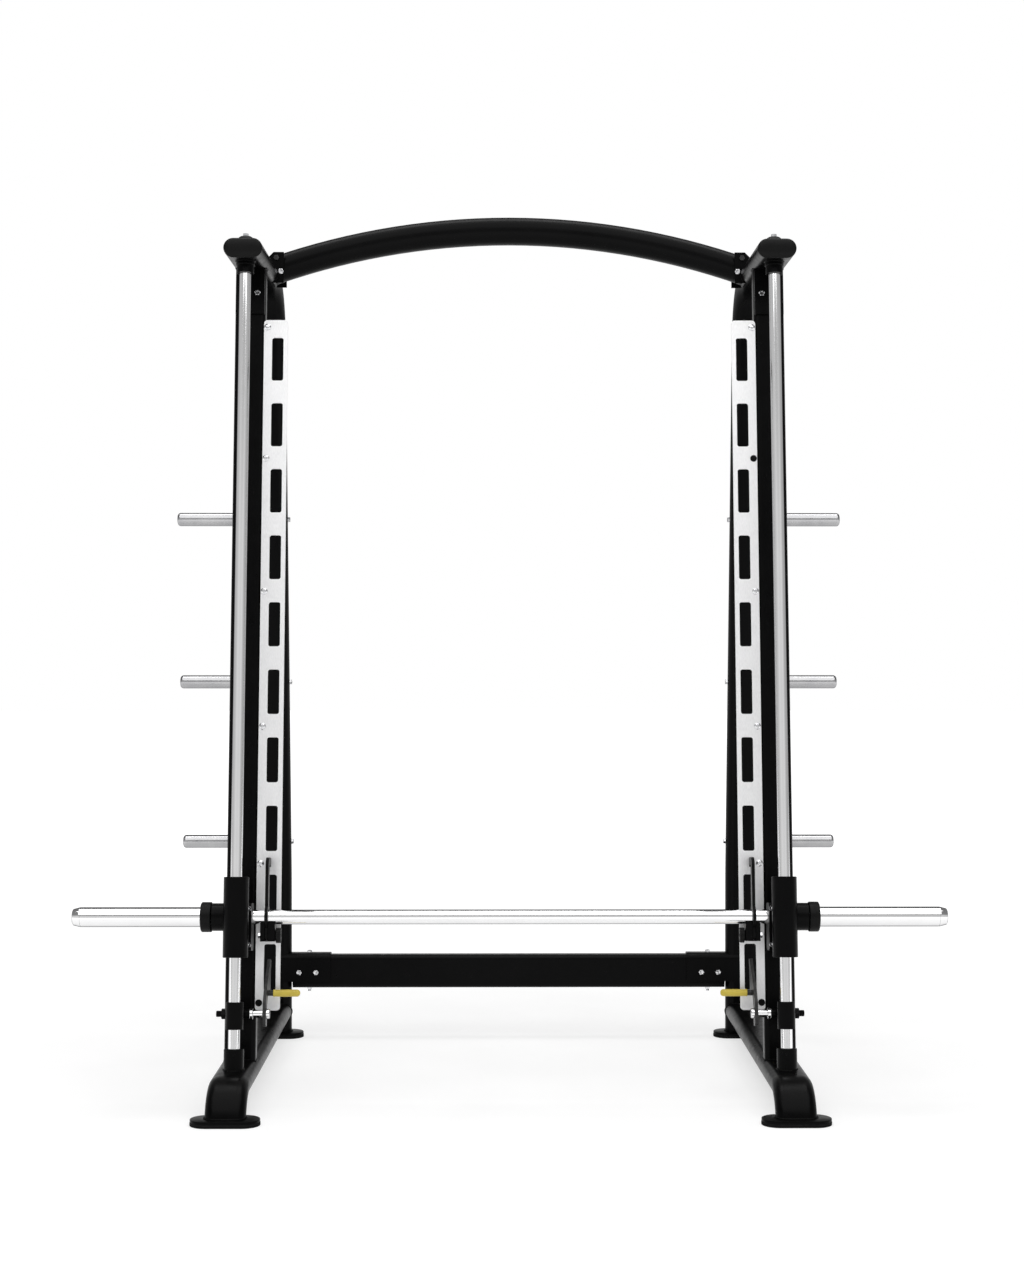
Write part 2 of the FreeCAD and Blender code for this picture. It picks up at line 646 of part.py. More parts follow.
def cheek(near, far):
    """One upright cheek of the arch's bracket, its outer top corner chamfered."""
    blank = box(("cheek_inner", near, "cheek_low"), ("cheek_outer", far, "cheek_high"))
    doc.recompute()
    chamfer = doc.addObject("Part::Chamfer", "cheek_corner")
    chamfer.Base = blank
    outer, high = size("cheek_outer") - AT_FACE, size("cheek_high") - AT_FACE
    corner = next(index + 1 for index, edge in enumerate(blank.Shape.Edges)
                  if edge.CenterOfMass.x > outer and edge.CenterOfMass.z > high)
    chamfer.Edges = [(corner, size("cheek_chamfer"), size("cheek_chamfer"))]
    return chamfer


front_cheek = cheek("arch_depth - (%s)" % cheek_span, "arch_depth - arch_radius - cheek_gap")
rear_cheek = cheek("arch_depth + arch_radius + cheek_gap", "arch_depth + (%s)" % cheek_span)
web = box(("arch_web", "arch_depth - arch_radius - cheek_gap", "cheek_low"),
          ("arch_web + cheek_plate", "arch_depth + arch_radius + cheek_gap", "cheek_high - cheek_chamfer"))
mirrored_group("arch_brackets", cut(fuse(front_cheek, rear_cheek, web), rear_outer, *arch_drills[:2]))
grouped("arch_bolts", *[
    piece for at in arch_bolts_at for piece in bolt(at, "-y", arch_bolt_length, nut=arch_grip)])

beam_at = ("-beam_end", "foot_reach", "beam_centre")
beam_front = "foot_reach - beam_depth / 2 - bracket_plate"
beam_top = "beam_centre + beam_height / 2 + bracket_plate"
beam_cross_at = [(x, beam_front, "beam_bolt_height") for x in ("beam_bolt_outer", "beam_bolt_inner")]
beam_upright_at = ("beam_bolt_upright", "foot_reach", beam_top)
cross_grip = "beam_depth + 2 * bracket_plate"
upright_grip = "beam_height + bracket_plate"
cross_length = cross_grip + " + bolt_spare"
upright_length = upright_grip + " + bolt_spare"
beam_drills = [drill(at, "-y", cross_length) for at in beam_cross_at]
beam_drills.append(drill(beam_upright_at, "+z", upright_length))
beam_fasteners = [
    piece for at in beam_cross_at for piece in bolt(at, "-y", cross_length, nut=cross_grip)]
beam_fasteners += bolt(beam_upright_at, "+z", upright_length, nut=upright_grip)

beam_outer = rounded_bar("beam", "beam_height", "beam_depth", "beam_corner", "2 * beam_end", beam_at, "+x")
beam_bore = rounded_bar("beam_bore", "beam_height - 2 * tube_wall", "beam_depth - 2 * tube_wall",
                        "beam_corner - tube_wall", "2 * beam_end", beam_at, "+x")
publish(cut(beam_outer, beam_bore, *beam_drills, *[mirrored(hole) for hole in beam_drills]), "crossbeam")

bracket_at = ("bracket_inner", "foot_reach", "beam_centre")
bracket_run = "half_gauge - bracket_inner"
bracket_blank = rounded_bar(
    "bracket", "beam_height + 2 * bracket_plate", "beam_depth + 2 * bracket_plate",
    "beam_corner + bracket_plate", bracket_run, bracket_at, "+x")
bracket_seat = rounded_bar(
    "bracket_seat", "beam_height + 2 * fit_gap", "beam_depth + 2 * fit_gap",
    "beam_corner + fit_gap", bracket_run, bracket_at, "+x")
bracket_mouth = box(
    ("0", "0", "0"), ("half_gauge", "2 * foot_reach", beam_top + " - bracket_height"))
mirrored_group("crossbeam_brackets", cut(
    bracket_blank, bracket_seat, bracket_mouth, rear_outer, *beam_drills))
mirrored_group("crossbeam_bolts", *beam_fasteners)


# ---------------------------------------------------------------- carriages

BAR = ("bar_offset", "bar_height")
carriage_at = ("half_gauge", "0", "carriage_start")
housing_length = "housing_outer - housing_inner"
carriage_outer = cylinder("carriage_radius", "carriage_length", carriage_at)
carriage_tube = ring("carriage_radius", "carriage_bore", "carriage_length", carriage_at)
both_sides(leaning(carriage_tube), "carriage_tube")
mirrored_group("bar_housings", leaning(cut(
    ring("housing_radius", "housing_bore", housing_length, ("housing_inner", *BAR), "+x"), carriage_outer)))

bearing_starts = ["carriage_start + 2 * wiper_length",
                  "carriage_start + carriage_length - 2 * wiper_length - bearing_length"]
mirrored_group("linear_bearings", leaning(*[
    ring("carriage_bore - fit_gap", "rod_radius + fit_gap", "bearing_length", ("half_gauge", "0", start))
    for start in bearing_starts]))
wiper_starts = ["carriage_start + wiper_length / 2",
                "carriage_start + carriage_length - 1.5 * wiper_length"]
mirrored_group("rod_wipers", leaning(*[
    ring("carriage_bore - fit_gap", "wiper_lip", "wiper_length", ("half_gauge", "0", start))
    for start in wiper_starts]))
mirrored_group("bar_bearings", leaning(*[
    ring("housing_bore - fit_gap", "bar_radius + fit_gap", "bar_bearing_length", (start, *BAR), "+x")
    for start in ("housing_inner", "housing_outer - bar_bearing_length")]))

stop_height = "housing_radius + stop_drop"
stop_blank = rounded_bar(
    "stop_plate", stop_height, "stop_across", "stop_corner", "stop_plate",
    ("housing_inner - stop_plate", "bar_offset", "bar_height + (housing_radius - stop_drop) / 2"), "+x")
stop_screws_at = [
    ("housing_inner - stop_plate / 2", "bar_offset - stop_across / 2", "bar_height " + shift)
    for shift in ("+ stop_screw_rise", "- stop_screw_drop")]
stop_drills = [drill(at, "-y", "screw_length", "screw_shank") for at in stop_screws_at]
stop_bore = cylinder("bar_radius + stop_clear", "2 * overrun", ("housing_inner - overrun", *BAR), "+x")
mirrored_group("stop_plates", leaning(cut(stop_blank, stop_bore, *stop_drills)))
mirrored_group("stop_screws", leaning(*[
    fuse(cylinder("screw_head", "screw_head", at, "-y"), cylinder("screw_shank", "screw_length", at, "+y"))
    for at in stop_screws_at]))


# ---------------------------------------------------------------- bar

publish(leaning(cylinder("bar_radius", "2 * bar_reach", ("-bar_reach", *BAR), "+x")), "bar_shaft")
mirrored_group("plate_stops", leaning(
    ring("collar_radius", "bar_radius + fit_gap", "collar_width", ("collar_start", *BAR), "+x")))
sleeve_start = "collar_start + collar_width"
both_sides(leaning(ring("sleeve_radius", "bar_radius + fit_gap", "sleeve_end - (%s)" % sleeve_start,
                        (sleeve_start, *BAR), "+x")), "sleeve")
tip = doc.addObject("Part::Cone", "sleeve_tip")
bind(tip, Radius1="sleeve_radius", Radius2="bar_tip_radius", Height="bar_end - sleeve_end")
place(tip, ("sleeve_end", *BAR), "+x")
tip_plug = cylinder("bar_radius", "sleeve_end - bar_reach - end_gap", ("bar_reach + end_gap", *BAR), "+x")
mirrored_group("sleeve_end_caps", leaning(fuse(tip, tip_plug)))


# ---------------------------------------------------------------- hooks on the bar

def rounded_outline(corners):
    """A closed outline in the YZ plane; each corner is (y, z, radius)."""
    points = [FreeCAD.Vector(0, y, z) for y, z, _ in corners]
    starts, ends, edges = [], [], []
    for index, (point, (_, _, radius)) in enumerate(zip(points, corners)):
        before = (points[index - 1] - point).normalize()
        after = (points[(index + 1) % len(points)] - point).normalize()
        half_turn = (math.pi - before.getAngle(after)) / 2
        tangent = radius * math.tan(half_turn)
        starts.append(point + before * tangent)
        ends.append(point + after * tangent)
        centre = point + (before + after).normalize() * (radius / math.cos(half_turn))
        middle = centre + (point - centre).normalize() * radius
        edges.append(Part.Arc(starts[-1], middle, ends[-1]).toShape())
    for index, end in enumerate(ends):
        edges.append(Part.makeLine(end, starts[(index + 1) % len(starts)]))
    return edges


def hook_outline():
    """An upside-down J: a tail below the bar, an arm above it and a tip that curls to the rear."""
    y, z = size("bar_offset"), size("bar_height")
    tail, arm = size("hook_tail_width / 2"), size("hook_arm / 2")
    top, bottom = z + size("hook_top"), z - size("hook_tail")
    tip_end, tip_start = y + size("hook_tip"), y + size("hook_tip - hook_tip_width")
    tip_low = top - size("hook_tip_drop")
    throat = tip_low + size("hook_lip")
    corner, lip_corner, bend = size("hook_corner"), size("hook_lip_corner"), size("hook_bend")
    return rounded_outline([
        (y - tail, bottom, corner), (y + tail, bottom, corner), (y + arm, throat, corner),
        (tip_start, throat, lip_corner), (tip_start, tip_low, lip_corner),
        (tip_end, tip_low, corner), (tip_end, top, corner), (y - arm, top, bend)])


block_slot = box(
    ("hook_inner - block_gap", "bar_offset - block_depth", "bar_height - hook_tail - running_gap"),
    ("hook_inner + hook_thick + block_gap", "bar_offset + block_depth", "bar_height"))
block_blank = box(("block_inner", "bar_offset - block_depth / 2", "bar_height - block_drop"),
                  ("block_outer", "bar_offset + block_depth / 2", "bar_height - block_top"))
hook_bolt_at = ("block_outer", "bar_offset", "bar_height - hook_bolt_drop")
hook_bolt_length = "block_outer - block_inner + knob_width - knob_recess"
hook_drill = drill(hook_bolt_at, "+x", hook_bolt_length)
bar_space = cylinder("bar_radius + fit_gap", "2 * half_gauge", ("0", *BAR), "+x")
hook_plate = fuse(flat_outline("hook", hook_outline(), "hook_thick", "hook_inner"),
                  cylinder("hook_ring", "hook_thick", ("hook_inner", *BAR), "+x"))
both_sides(leaning(cut(hook_plate, bar_space, hook_drill)), "hook_plate")
hook_ring_space = cylinder("hook_ring + block_gap", "hook_thick + 2 * block_gap",
                           ("hook_inner - block_gap", *BAR), "+x")
mirrored_group("hook_blocks", leaning(cut(
    block_blank, bar_space, block_slot, hook_ring_space, hook_drill)))
mirrored_group("hook_bolts", leaning(*bolt(hook_bolt_at, "+x", hook_bolt_length)))
knob = cylinder("knob_radius", "knob_width", ("block_inner - knob_width", *hook_bolt_at[1:]), "+x")
mirrored_group("hook_knobs", leaning(cut(knob, hook_drill)))


# ---------------------------------------------------------------- safety catches

PIVOT = ("pivot_offset", "pivot_height")
catch_start = "pivot_height - collar_sag - catch_length / 2"
liner_at = ("half_gauge", "0", catch_start)
pivot_drill = cylinder("pivot_radius + fit_gap", "2 * half_gauge", ("0", *PIVOT), "+x")
boss = cylinder("boss_radius", "boss_outer - boss_inner", ("boss_inner", *PIVOT), "+x")
neck = box(
    ("half_gauge - liner_radius", "0", "pivot_height - neck_half_height"),
    ("half_gauge + liner_radius", "pivot_offset", "pivot_height + neck_half_height"))
collar_bore = cylinder("liner_radius + fit_gap", "2 * overrun + catch_length",
                       ("half_gauge", "0", catch_start + " - overrun"))
collar_blank = cylinder("catch_radius", "catch_length", liner_at)
both_sides(leaning(cut(fuse(collar_blank, neck, boss), collar_bore, pivot_drill)), "catch_collar")
both_sides(leaning(ring("liner_radius", "rod_radius + fit_gap", "catch_length", liner_at)), "catch_liner")

spacer_start = "hook_inner + hook_thick + running_gap"
spacer = fuse(
    cylinder("spacer_radius", "boss_inner - (%s)" % spacer_start, (spacer_start, *PIVOT), "+x"),
    cylinder("spacer_flange_radius", "spacer_flange", ("boss_inner - spacer_flange", *PIVOT), "+x"))
both_sides(leaning(cut(spacer, pivot_drill)), "catch_spacer")
pivot_bolt_at = ("pivot_head_end", *PIVOT)
pivot_bolt = fuse(
    cylinder("pivot_radius", "pivot_end - pivot_head_end", pivot_bolt_at, "+x"),
    cylinder("pivot_head_radius", "hook_inner - running_gap - pivot_head_end", pivot_bolt_at, "+x"))
pivot_nut = cut(hexagon("pivot_nut_radius", "pivot_nut_width", ("boss_outer", *PIVOT), "+x"), pivot_drill)
both_sides(leaning(pivot_bolt, pivot_nut), "catch_bolt")


def catch_outline():
    """A lever that hangs on its pivot, rests over the lowest bridge of the plate and ends behind it."""
    y, z = size("pivot_offset"), size("pivot_height")
    half, low = size("catch_half_width"), z - size("catch_drop")
    sill = size("plate_start + slot_margin + sill_clear")
    behind, lip_low = size("upright_front + lip_gap"), sill - size("lip_drop")
    nose_y, nose_z, nose = size("nose_y"), size("nose_z"), size("nose_width")
    lip_corner, nose_corner = size("lip_corner"), size("nose_corner")
    elbow = y + size("catch_reach")
    return rounded_outline([
        (y - half, low, half / 2), (y + half, low, half / 2), (y + half, z + half, half),
        (elbow, sill, half / 2), (behind, sill, lip_corner), (behind, lip_low, lip_corner),
        (behind + nose / 2, lip_low, lip_corner), (nose_y - nose / 2, nose_z - 2 * nose, nose),
        (nose_y, nose_z - nose / 3, nose_corner), (nose_y - nose, nose_z, nose_corner),
        (y + half * 3 / 2, nose_z - nose * 7 / 2, 2 * nose), (y - half, z + 2 * half, 2 * half)])


grip_at = ("grip_outer", "grip_y", "grip_z")
stub_at = ("grip_inner + grip_round", *grip_at[1:])
stub = cylinder("stub_radius", "hook_inner - grip_inner - grip_round", stub_at, "+x")
lever = fuse(flat_outline("catch", catch_outline(), "hook_thick", "hook_inner"), stub)
both_sides(leaning(cut(lever, pivot_drill)), "catch_lever")
grip = round_bar("grip", "grip_radius", "grip_outer - grip_inner", "grip_round", grip_at, "-x")
grip_bore = cylinder("stub_radius + fit_gap", "grip_outer - grip_inner - grip_round", stub_at, "+x")
both_sides(leaning(cut(grip, grip_bore)), "catch_grip")


# ---------------------------------------------------------------- check and write

doc.recompute()
failed = [thing.Label for thing in doc.Objects if {"Invalid", "Error"} & set(thing.State)]
broken = [piece.Label for piece in sub_parts if piece.Shape.isNull() or not piece.Shape.isValid()]
if failed or broken:
    raise RuntimeError("failed: %s, broken: %s" % (failed, broken))

os.makedirs("parts", exist_ok=True)
for piece in sub_parts:
    piece.Shape.exportStep("parts/%s.step" % piece.Label)
print(len(sub_parts), "sub-parts written")
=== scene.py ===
"""A smith machine: finishes, welds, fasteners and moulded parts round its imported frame, in a plain studio."""
import json
import math

import bmesh
import bpy
from mathutils import Euler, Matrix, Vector


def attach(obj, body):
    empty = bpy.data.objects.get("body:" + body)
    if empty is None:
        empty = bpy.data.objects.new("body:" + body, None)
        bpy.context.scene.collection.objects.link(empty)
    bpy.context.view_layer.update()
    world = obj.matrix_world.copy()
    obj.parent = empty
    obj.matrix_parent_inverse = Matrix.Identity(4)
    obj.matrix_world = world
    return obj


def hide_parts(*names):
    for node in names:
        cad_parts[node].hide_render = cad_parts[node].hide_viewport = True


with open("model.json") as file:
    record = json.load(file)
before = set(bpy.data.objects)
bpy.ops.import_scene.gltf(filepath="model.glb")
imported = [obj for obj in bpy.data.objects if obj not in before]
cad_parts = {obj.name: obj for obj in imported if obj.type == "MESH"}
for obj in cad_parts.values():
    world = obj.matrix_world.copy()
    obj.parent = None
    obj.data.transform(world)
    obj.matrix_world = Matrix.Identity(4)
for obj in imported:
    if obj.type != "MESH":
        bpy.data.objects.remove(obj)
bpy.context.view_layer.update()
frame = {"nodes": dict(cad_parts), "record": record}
nodes = frame["nodes"]
bodies = frame["record"]["behaviour"]["bodies"]
body_of = {node: body for body, members in bodies.items() for node in members}
slot_of = {row["node"]: row["material_slot"] for row in frame["record"]["subparts"]}

MM = 0.001
ACROSS = Vector((1, 0, 0))
DEEP = Vector((0, 1, 0))
UP = Vector((0, 0, 1))
WORLD_AXES = (ACROSS, DEEP, UP)

# The guide rods lean back from points over the base tubes.
LEAN = math.radians(7)
ROD_FOOT_LEVEL = 100
ROD_FOOT = Vector((0, -407, ROD_FOOT_LEVEL)) * MM
BEHIND_ROD = Vector((0, math.cos(LEAN), -math.sin(LEAN)))
ALONG_ROD = Vector((0, math.sin(LEAN), math.cos(LEAN)))
ROD_AXES = (ACROSS, BEHIND_ROD, ALONG_ROD)

# Places and sizes in millimetres that several pieces share.
SIDES = (1, -1)
HALF_GAUGE = 686
BASE_LEVEL, HEAD_LEVEL = 75, 2170
FOOT_REACH = 575
OVAL_WIDTH, OVAL_DEPTH = 100, 50
BAR_OFFSET, BAR_HEIGHT = 62, 374


def on_rod(x, y, z):
    """A point so many millimetres across from the middle, behind the guide rods and up along them."""
    return ROD_FOOT + (ACROSS * x + BEHIND_ROD * y + ALONG_ROD * z) * MM


def on_bar(x):
    """A point on the bar's axis, so many millimetres across from the middle."""
    return on_rod(x, BAR_OFFSET, BAR_HEIGHT)


# ---------------------------------------------------------------- materials

# Most of a noise pattern lies between these two values.
NOISE_LOW, NOISE_HIGH = 0.3, 0.7
# A Mix node's colour sockets, whose names repeat for every kind of value.
MIX_FIRST, MIX_SECOND, MIX_RESULT = 6, 7, 2
DUST = (0.04, 0.039, 0.037)


def grey(value):
    return (value, value, value)


class Finish:
    """A node material for one finish. Values that are the same all over are given by socket name,
    with underscores for spaces, and go on the shader's own sockets."""

    def __init__(self, name, **sockets):
        self.material = bpy.data.materials.new(name)
        self.material.use_nodes = True
        self.tree = self.material.node_tree
        self.shader = self.tree.nodes["Principled BSDF"]
        for socket, value in sockets.items():
            self.shader.inputs[socket.replace("_", " ")].default_value = value
        self.place = self.node("ShaderNodeTexCoord").outputs["Object"]
        self.relief = None

    def node(self, kind, **settings):
        made = self.tree.nodes.new(kind)
        for name, value in settings.items():
            setattr(made, name, value)
        return made

    def join(self, source, target):
        self.tree.links.new(source, target)

    def noise(self, scale, detail, stretch=(1, 1, 1), turned=0.0):
        """A noise pattern of so many features a metre, stretched along the axes."""
        mapping = self.node("ShaderNodeMapping")
        mapping.inputs["Rotation"].default_value = (turned, 0, 0)
        mapping.inputs["Scale"].default_value = stretch
        self.join(self.place, mapping.inputs["Vector"])
        noise = self.node("ShaderNodeTexNoise")
        noise.inputs["Scale"].default_value = scale
        noise.inputs["Detail"].default_value = detail
        self.join(mapping.outputs["Vector"], noise.inputs["Vector"])
        return noise.outputs["Fac"]

    def cells(self, scale):
        """A pattern of round cells, so many a metre."""
        cells = self.node("ShaderNodeTexVoronoi")
        cells.inputs["Scale"].default_value = scale
        self.join(self.place, cells.inputs["Vector"])
        return cells.outputs["Distance"]

    def spread(self, source, low=0, high=1, start=NOISE_LOW, end=NOISE_HIGH):
        """Map a pattern's values from start to end onto values from low to high."""
        spread = self.node("ShaderNodeMapRange")
        spread.inputs["From Min"].default_value = start
        spread.inputs["From Max"].default_value = end
        spread.inputs["To Min"].default_value = low
        spread.inputs["To Max"].default_value = high
        self.join(source, spread.inputs["Value"])
        return spread.outputs["Result"]

    def cover(self, below, above, pattern, most=1, start=NOISE_LOW, end=NOISE_HIGH):
        """A colour laid over another colour or colour output, most where a pattern is high."""
        mix = self.node("ShaderNodeMix", data_type="RGBA")
        self.join(self.spread(pattern, 0, most, start, end), mix.inputs["Factor"])
        mix.inputs[MIX_SECOND].default_value = (*above, 1)
        if isinstance(below, tuple):
            mix.inputs[MIX_FIRST].default_value = (*below, 1)
        else:
            self.join(below, mix.inputs[MIX_FIRST])
        return mix.outputs[MIX_RESULT]

    def times(self, first, second):
        product = self.node("ShaderNodeMath", operation="MULTIPLY")
        self.join(first, product.inputs[0])
        self.join(second, product.inputs[1])
        return product.outputs["Value"]

    def edges(self):
        """Where the surface turns sharply outward, broken up unevenly: the mask for lighter edges that are
        partly rubbed wear and partly a painted highlight.
        """
        outward = self.node("ShaderNodeNewGeometry").outputs["Pointiness"]
        sharp = self.spread(outward, start=0.53, end=0.62)
        return self.times(sharp, self.spread(self.noise(scale=90, detail=4), start=0.42, end=0.62))

    def facing_up(self):
        """How far the surface looks up, where dust settles."""
        normal = self.node("ShaderNodeSeparateXYZ")
        self.join(self.node("ShaderNodeNewGeometry").outputs["Normal"], normal.inputs["Vector"])
        settled = self.spread(normal.outputs["Z"], start=0.75, end=1.0)
        return self.times(settled, self.spread(self.noise(scale=25, detail=5), start=0.35, end=0.75))

    def colour(self, source):
        self.join(source, self.shader.inputs["Base Color"])

    def roughness(self, pattern, low, high):
        self.join(self.spread(pattern, low, high), self.shader.inputs["Roughness"])

    def bump(self, pattern, depth, strength):
        """Lay a height pattern, so many millimetres deep, over the bumps made before it."""
        bump = self.node("ShaderNodeBump")
        bump.inputs["Distance"].default_value = depth * MM
        bump.inputs["Strength"].default_value = strength
        self.join(pattern, bump.inputs["Height"])
        if self.relief is not None:
            self.join(self.relief, bump.inputs["Normal"])
        self.relief = bump.outputs["Normal"]
        self.join(self.relief, self.shader.inputs["Normal"])


def powder_coat():
    """Black powder coat: a fine grain over a soft ripple, a little dustier on top."""
    finish = Finish("powder_coat", Metallic=0.0, Specular_IOR_Level=0.07)
    deep, faded = (0.0007, 0.0007, 0.0008), (0.0015, 0.0015, 0.0016)
    body = finish.cover(deep, faded, finish.noise(scale=7, detail=3))
    finish.colour(finish.cover(body, DUST, finish.facing_up(), most=0.12, start=0, end=1))
    finish.roughness(finish.noise(scale=45, detail=3), 0.27, 0.36)
    finish.bump(finish.noise(scale=260, detail=2), depth=0.1, strength=0.3)
    finish.bump(finish.noise(scale=1500, detail=2), depth=0.04, strength=0.4)
    return finish.material


def plate_finish():
    """Light satin plate, brushed lengthways, with faint rubbing between the slots."""
    finish = Finish("slot_plate_finish", Metallic=1.0)
    streaks = finish.noise(scale=900, detail=3, stretch=(1, 1, 0.012), turned=LEAN)
    dull, bright, worn = (0.82, 0.82, 0.825), (0.9, 0.9, 0.905), (0.7, 0.7, 0.71)
    brushed = finish.cover(dull, bright, streaks, start=0.35, end=0.65)
    rubbing = finish.noise(scale=38, detail=5)
    finish.colour(finish.cover(brushed, worn, rubbing, most=0.3, start=0.58, end=0.8))
    finish.roughness(streaks, 0.40, 0.50)
    finish.bump(streaks, depth=0.02, strength=0.25)
    return finish.material


def chrome(name, along, turned):
    """Hard chrome: bright, with hairlines along its length and a faint haze from handling."""
    finish = Finish(name, Metallic=1.0, Specular_Tint=(0.05, 0.05, 0.055, 1))
    hairlines = finish.noise(scale=1300, detail=2, stretch=along, turned=turned)
    haze = finish.noise(scale=14, detail=4)
    finish.colour(finish.cover((0.88, 0.88, 0.885), (0.91, 0.91, 0.915), haze))
    finish.roughness(haze, 0.075, 0.095)
    finish.bump(hairlines, depth=0.008, strength=0.1)
    return finish.material


def satin_steel():
    """Dull zinc on drawn tube: faint draw lines along it and a soft cloudiness."""
    finish = Finish("satin_steel", Metallic=1.0, Specular_Tint=(0.3, 0.3, 0.31, 1))
    lines = finish.noise(scale=1100, detail=2, stretch=(0.02, 1, 1))
    cloud = finish.noise(scale=22, detail=5)
    finish.colour(finish.cover((0.40, 0.40, 0.41), (0.48, 0.48, 0.485), cloud))
    finish.roughness(cloud, 0.18, 0.27)
    finish.bump(lines, depth=0.01, strength=0.25)
    return finish.material


def zinc_steel():
    """Bright zinc plate: a small cloudy crystal pattern, darker in the hollows, with lighter sharp edges that
    are partly rubbed wear and partly a painted highlight.
    """
    finish = Finish("zinc_steel", Metallic=1.0, Specular_Tint=(0.25, 0.25, 0.26, 1))
    crystals = finish.cells(scale=320)
    plated = finish.cover((0.66, 0.67, 0.70), (0.82, 0.82, 0.83), crystals, start=0.1, end=0.7)
    # Lighter sharp edges: partly rubbed wear, partly a painted highlight.
    finish.colour(finish.cover(plated, grey(0.9), finish.edges(), most=0.6, start=0, end=1))
    finish.roughness(finish.noise(scale=400, detail=3), 0.13, 0.22)
    finish.bump(crystals, depth=0.02, strength=0.2)
    finish.bump(finish.noise(scale=2200, detail=2), depth=0.01, strength=0.2)
    return finish.material


def dark_steel(name, low, high, gloss, roughness):
    """Oxide or phosphate finish on steel, mottled and a little scuffed."""
    finish = Finish(name, Metallic=0.5, Specular_IOR_Level=gloss)
    mottled = finish.cover(grey(low), grey(high), finish.noise(scale=120, detail=5))
    scuffs = finish.noise(scale=50, detail=6, stretch=(1, 3, 0.4))
    finish.colour(finish.cover(mottled, grey(high * 2), scuffs, most=0.35, start=0.6, end=0.75))
    finish.roughness(finish.noise(scale=300, detail=3), roughness, roughness + 0.14)
    finish.bump(finish.noise(scale=900, detail=3), depth=0.03, strength=0.35)
    return finish.material


def bearing_steel():
    """Ground steel: fine turning marks round the bore."""
    finish = Finish("bearing_steel", Metallic=1.0)
    marks = finish.noise(scale=1800, detail=2, stretch=(0.05, 0.05, 1), turned=LEAN)
    finish.colour(finish.cover((0.42, 0.42, 0.43), (0.55, 0.55, 0.56), marks))
    finish.roughness(marks, 0.2, 0.32)
    finish.bump(marks, depth=0.01, strength=0.3)
    return finish.material


def moulded(name, low, high, gloss, roughness, grain, depth):
    """Black plastic or rubber with the fine grain of its mould and lighter edges that are partly scuffs and
    partly a painted highlight.
    """
    finish = Finish(name, Metallic=0.0, Specular_IOR_Level=gloss)
    body = finish.cover(grey(low), grey(high), finish.noise(scale=30, detail=4))
    dusty = finish.cover(body, DUST, finish.facing_up(), most=0.15, start=0, end=1)
    # Lighter sharp edges: partly scuffs, partly a painted highlight.
    finish.colour(finish.cover(dusty, grey(high * 4), finish.edges(), most=0.5, start=0, end=1))
    finish.roughness(finish.noise(scale=80, detail=3), roughness, roughness + 0.12)
    finish.bump(finish.cells(grain), depth, strength=0.4)
    finish.bump(finish.noise(scale=grain * 2, detail=2), depth / 2, strength=0.3)
    return finish.material


def yellow_vinyl():
    """Dipped vinyl: soft, slightly uneven, a little greyed where it is held."""
    finish = Finish("yellow_vinyl", Metallic=0.0, Specular_IOR_Level=0.4,
                    Coat_Weight=0.12, Coat_Roughness=0.3)
    deep, bright, greyed = (0.50, 0.385, 0.042), (0.58, 0.45, 0.055), (0.33, 0.27, 0.05)
    dipped = finish.cover(deep, bright, finish.noise(scale=60, detail=3))
    handling = finish.noise(scale=25, detail=5)
    finish.colour(finish.cover(dipped, greyed, handling, most=0.3, start=0.55, end=0.75))
    finish.roughness(finish.noise(scale=150, detail=3), 0.33, 0.5)
    finish.bump(finish.noise(scale=220, detail=2), depth=0.15, strength=0.3)
    finish.bump(finish.noise(scale=1200, detail=2), depth=0.03, strength=0.3)
    return finish.material


finishes = {
    "powder_coat": powder_coat(),
    "slot_plate_finish": plate_finish(),
    "chrome": chrome("chrome", along=(1, 1, 0.002), turned=LEAN),
    "satin_steel": satin_steel(),
    "zinc_steel": zinc_steel(),
    "black_steel": dark_steel("black_steel", 0.004, 0.008, gloss=0.08, roughness=0.34),
    "catch_steel": dark_steel("catch_steel", 0.022, 0.04, gloss=0.35, roughness=0.32),
    "bearing_steel": bearing_steel(),
    "black_plastic": moulded("black_plastic", 0.0012, 0.0024, gloss=0.13, roughness=0.38,
                             grain=1500, depth=0.03),
    "black_rubber": moulded("black_rubber", 0.005, 0.008, gloss=0.06, roughness=0.62,
                            grain=900, depth=0.06),
    "yellow_vinyl": yellow_vinyl(),
}
# Chrome whose hairlines run across the machine, for the nodes that lie along the bar.
chrome_across = chrome("chrome_across", along=(0.002, 1, 1), turned=0.0)
LYING_CHROME = ("bar_shaft", "left_sleeve", "right_sleeve", "left_catch_spacer", "right_catch_spacer")


# ---------------------------------------------------------------- the CAD nodes' own edges

SHARP_EDGE = math.radians(32)
FLAT_JOIN = math.radians(0.1)
SAME_POINT = 1e-6
BEVEL_STEPS = 2


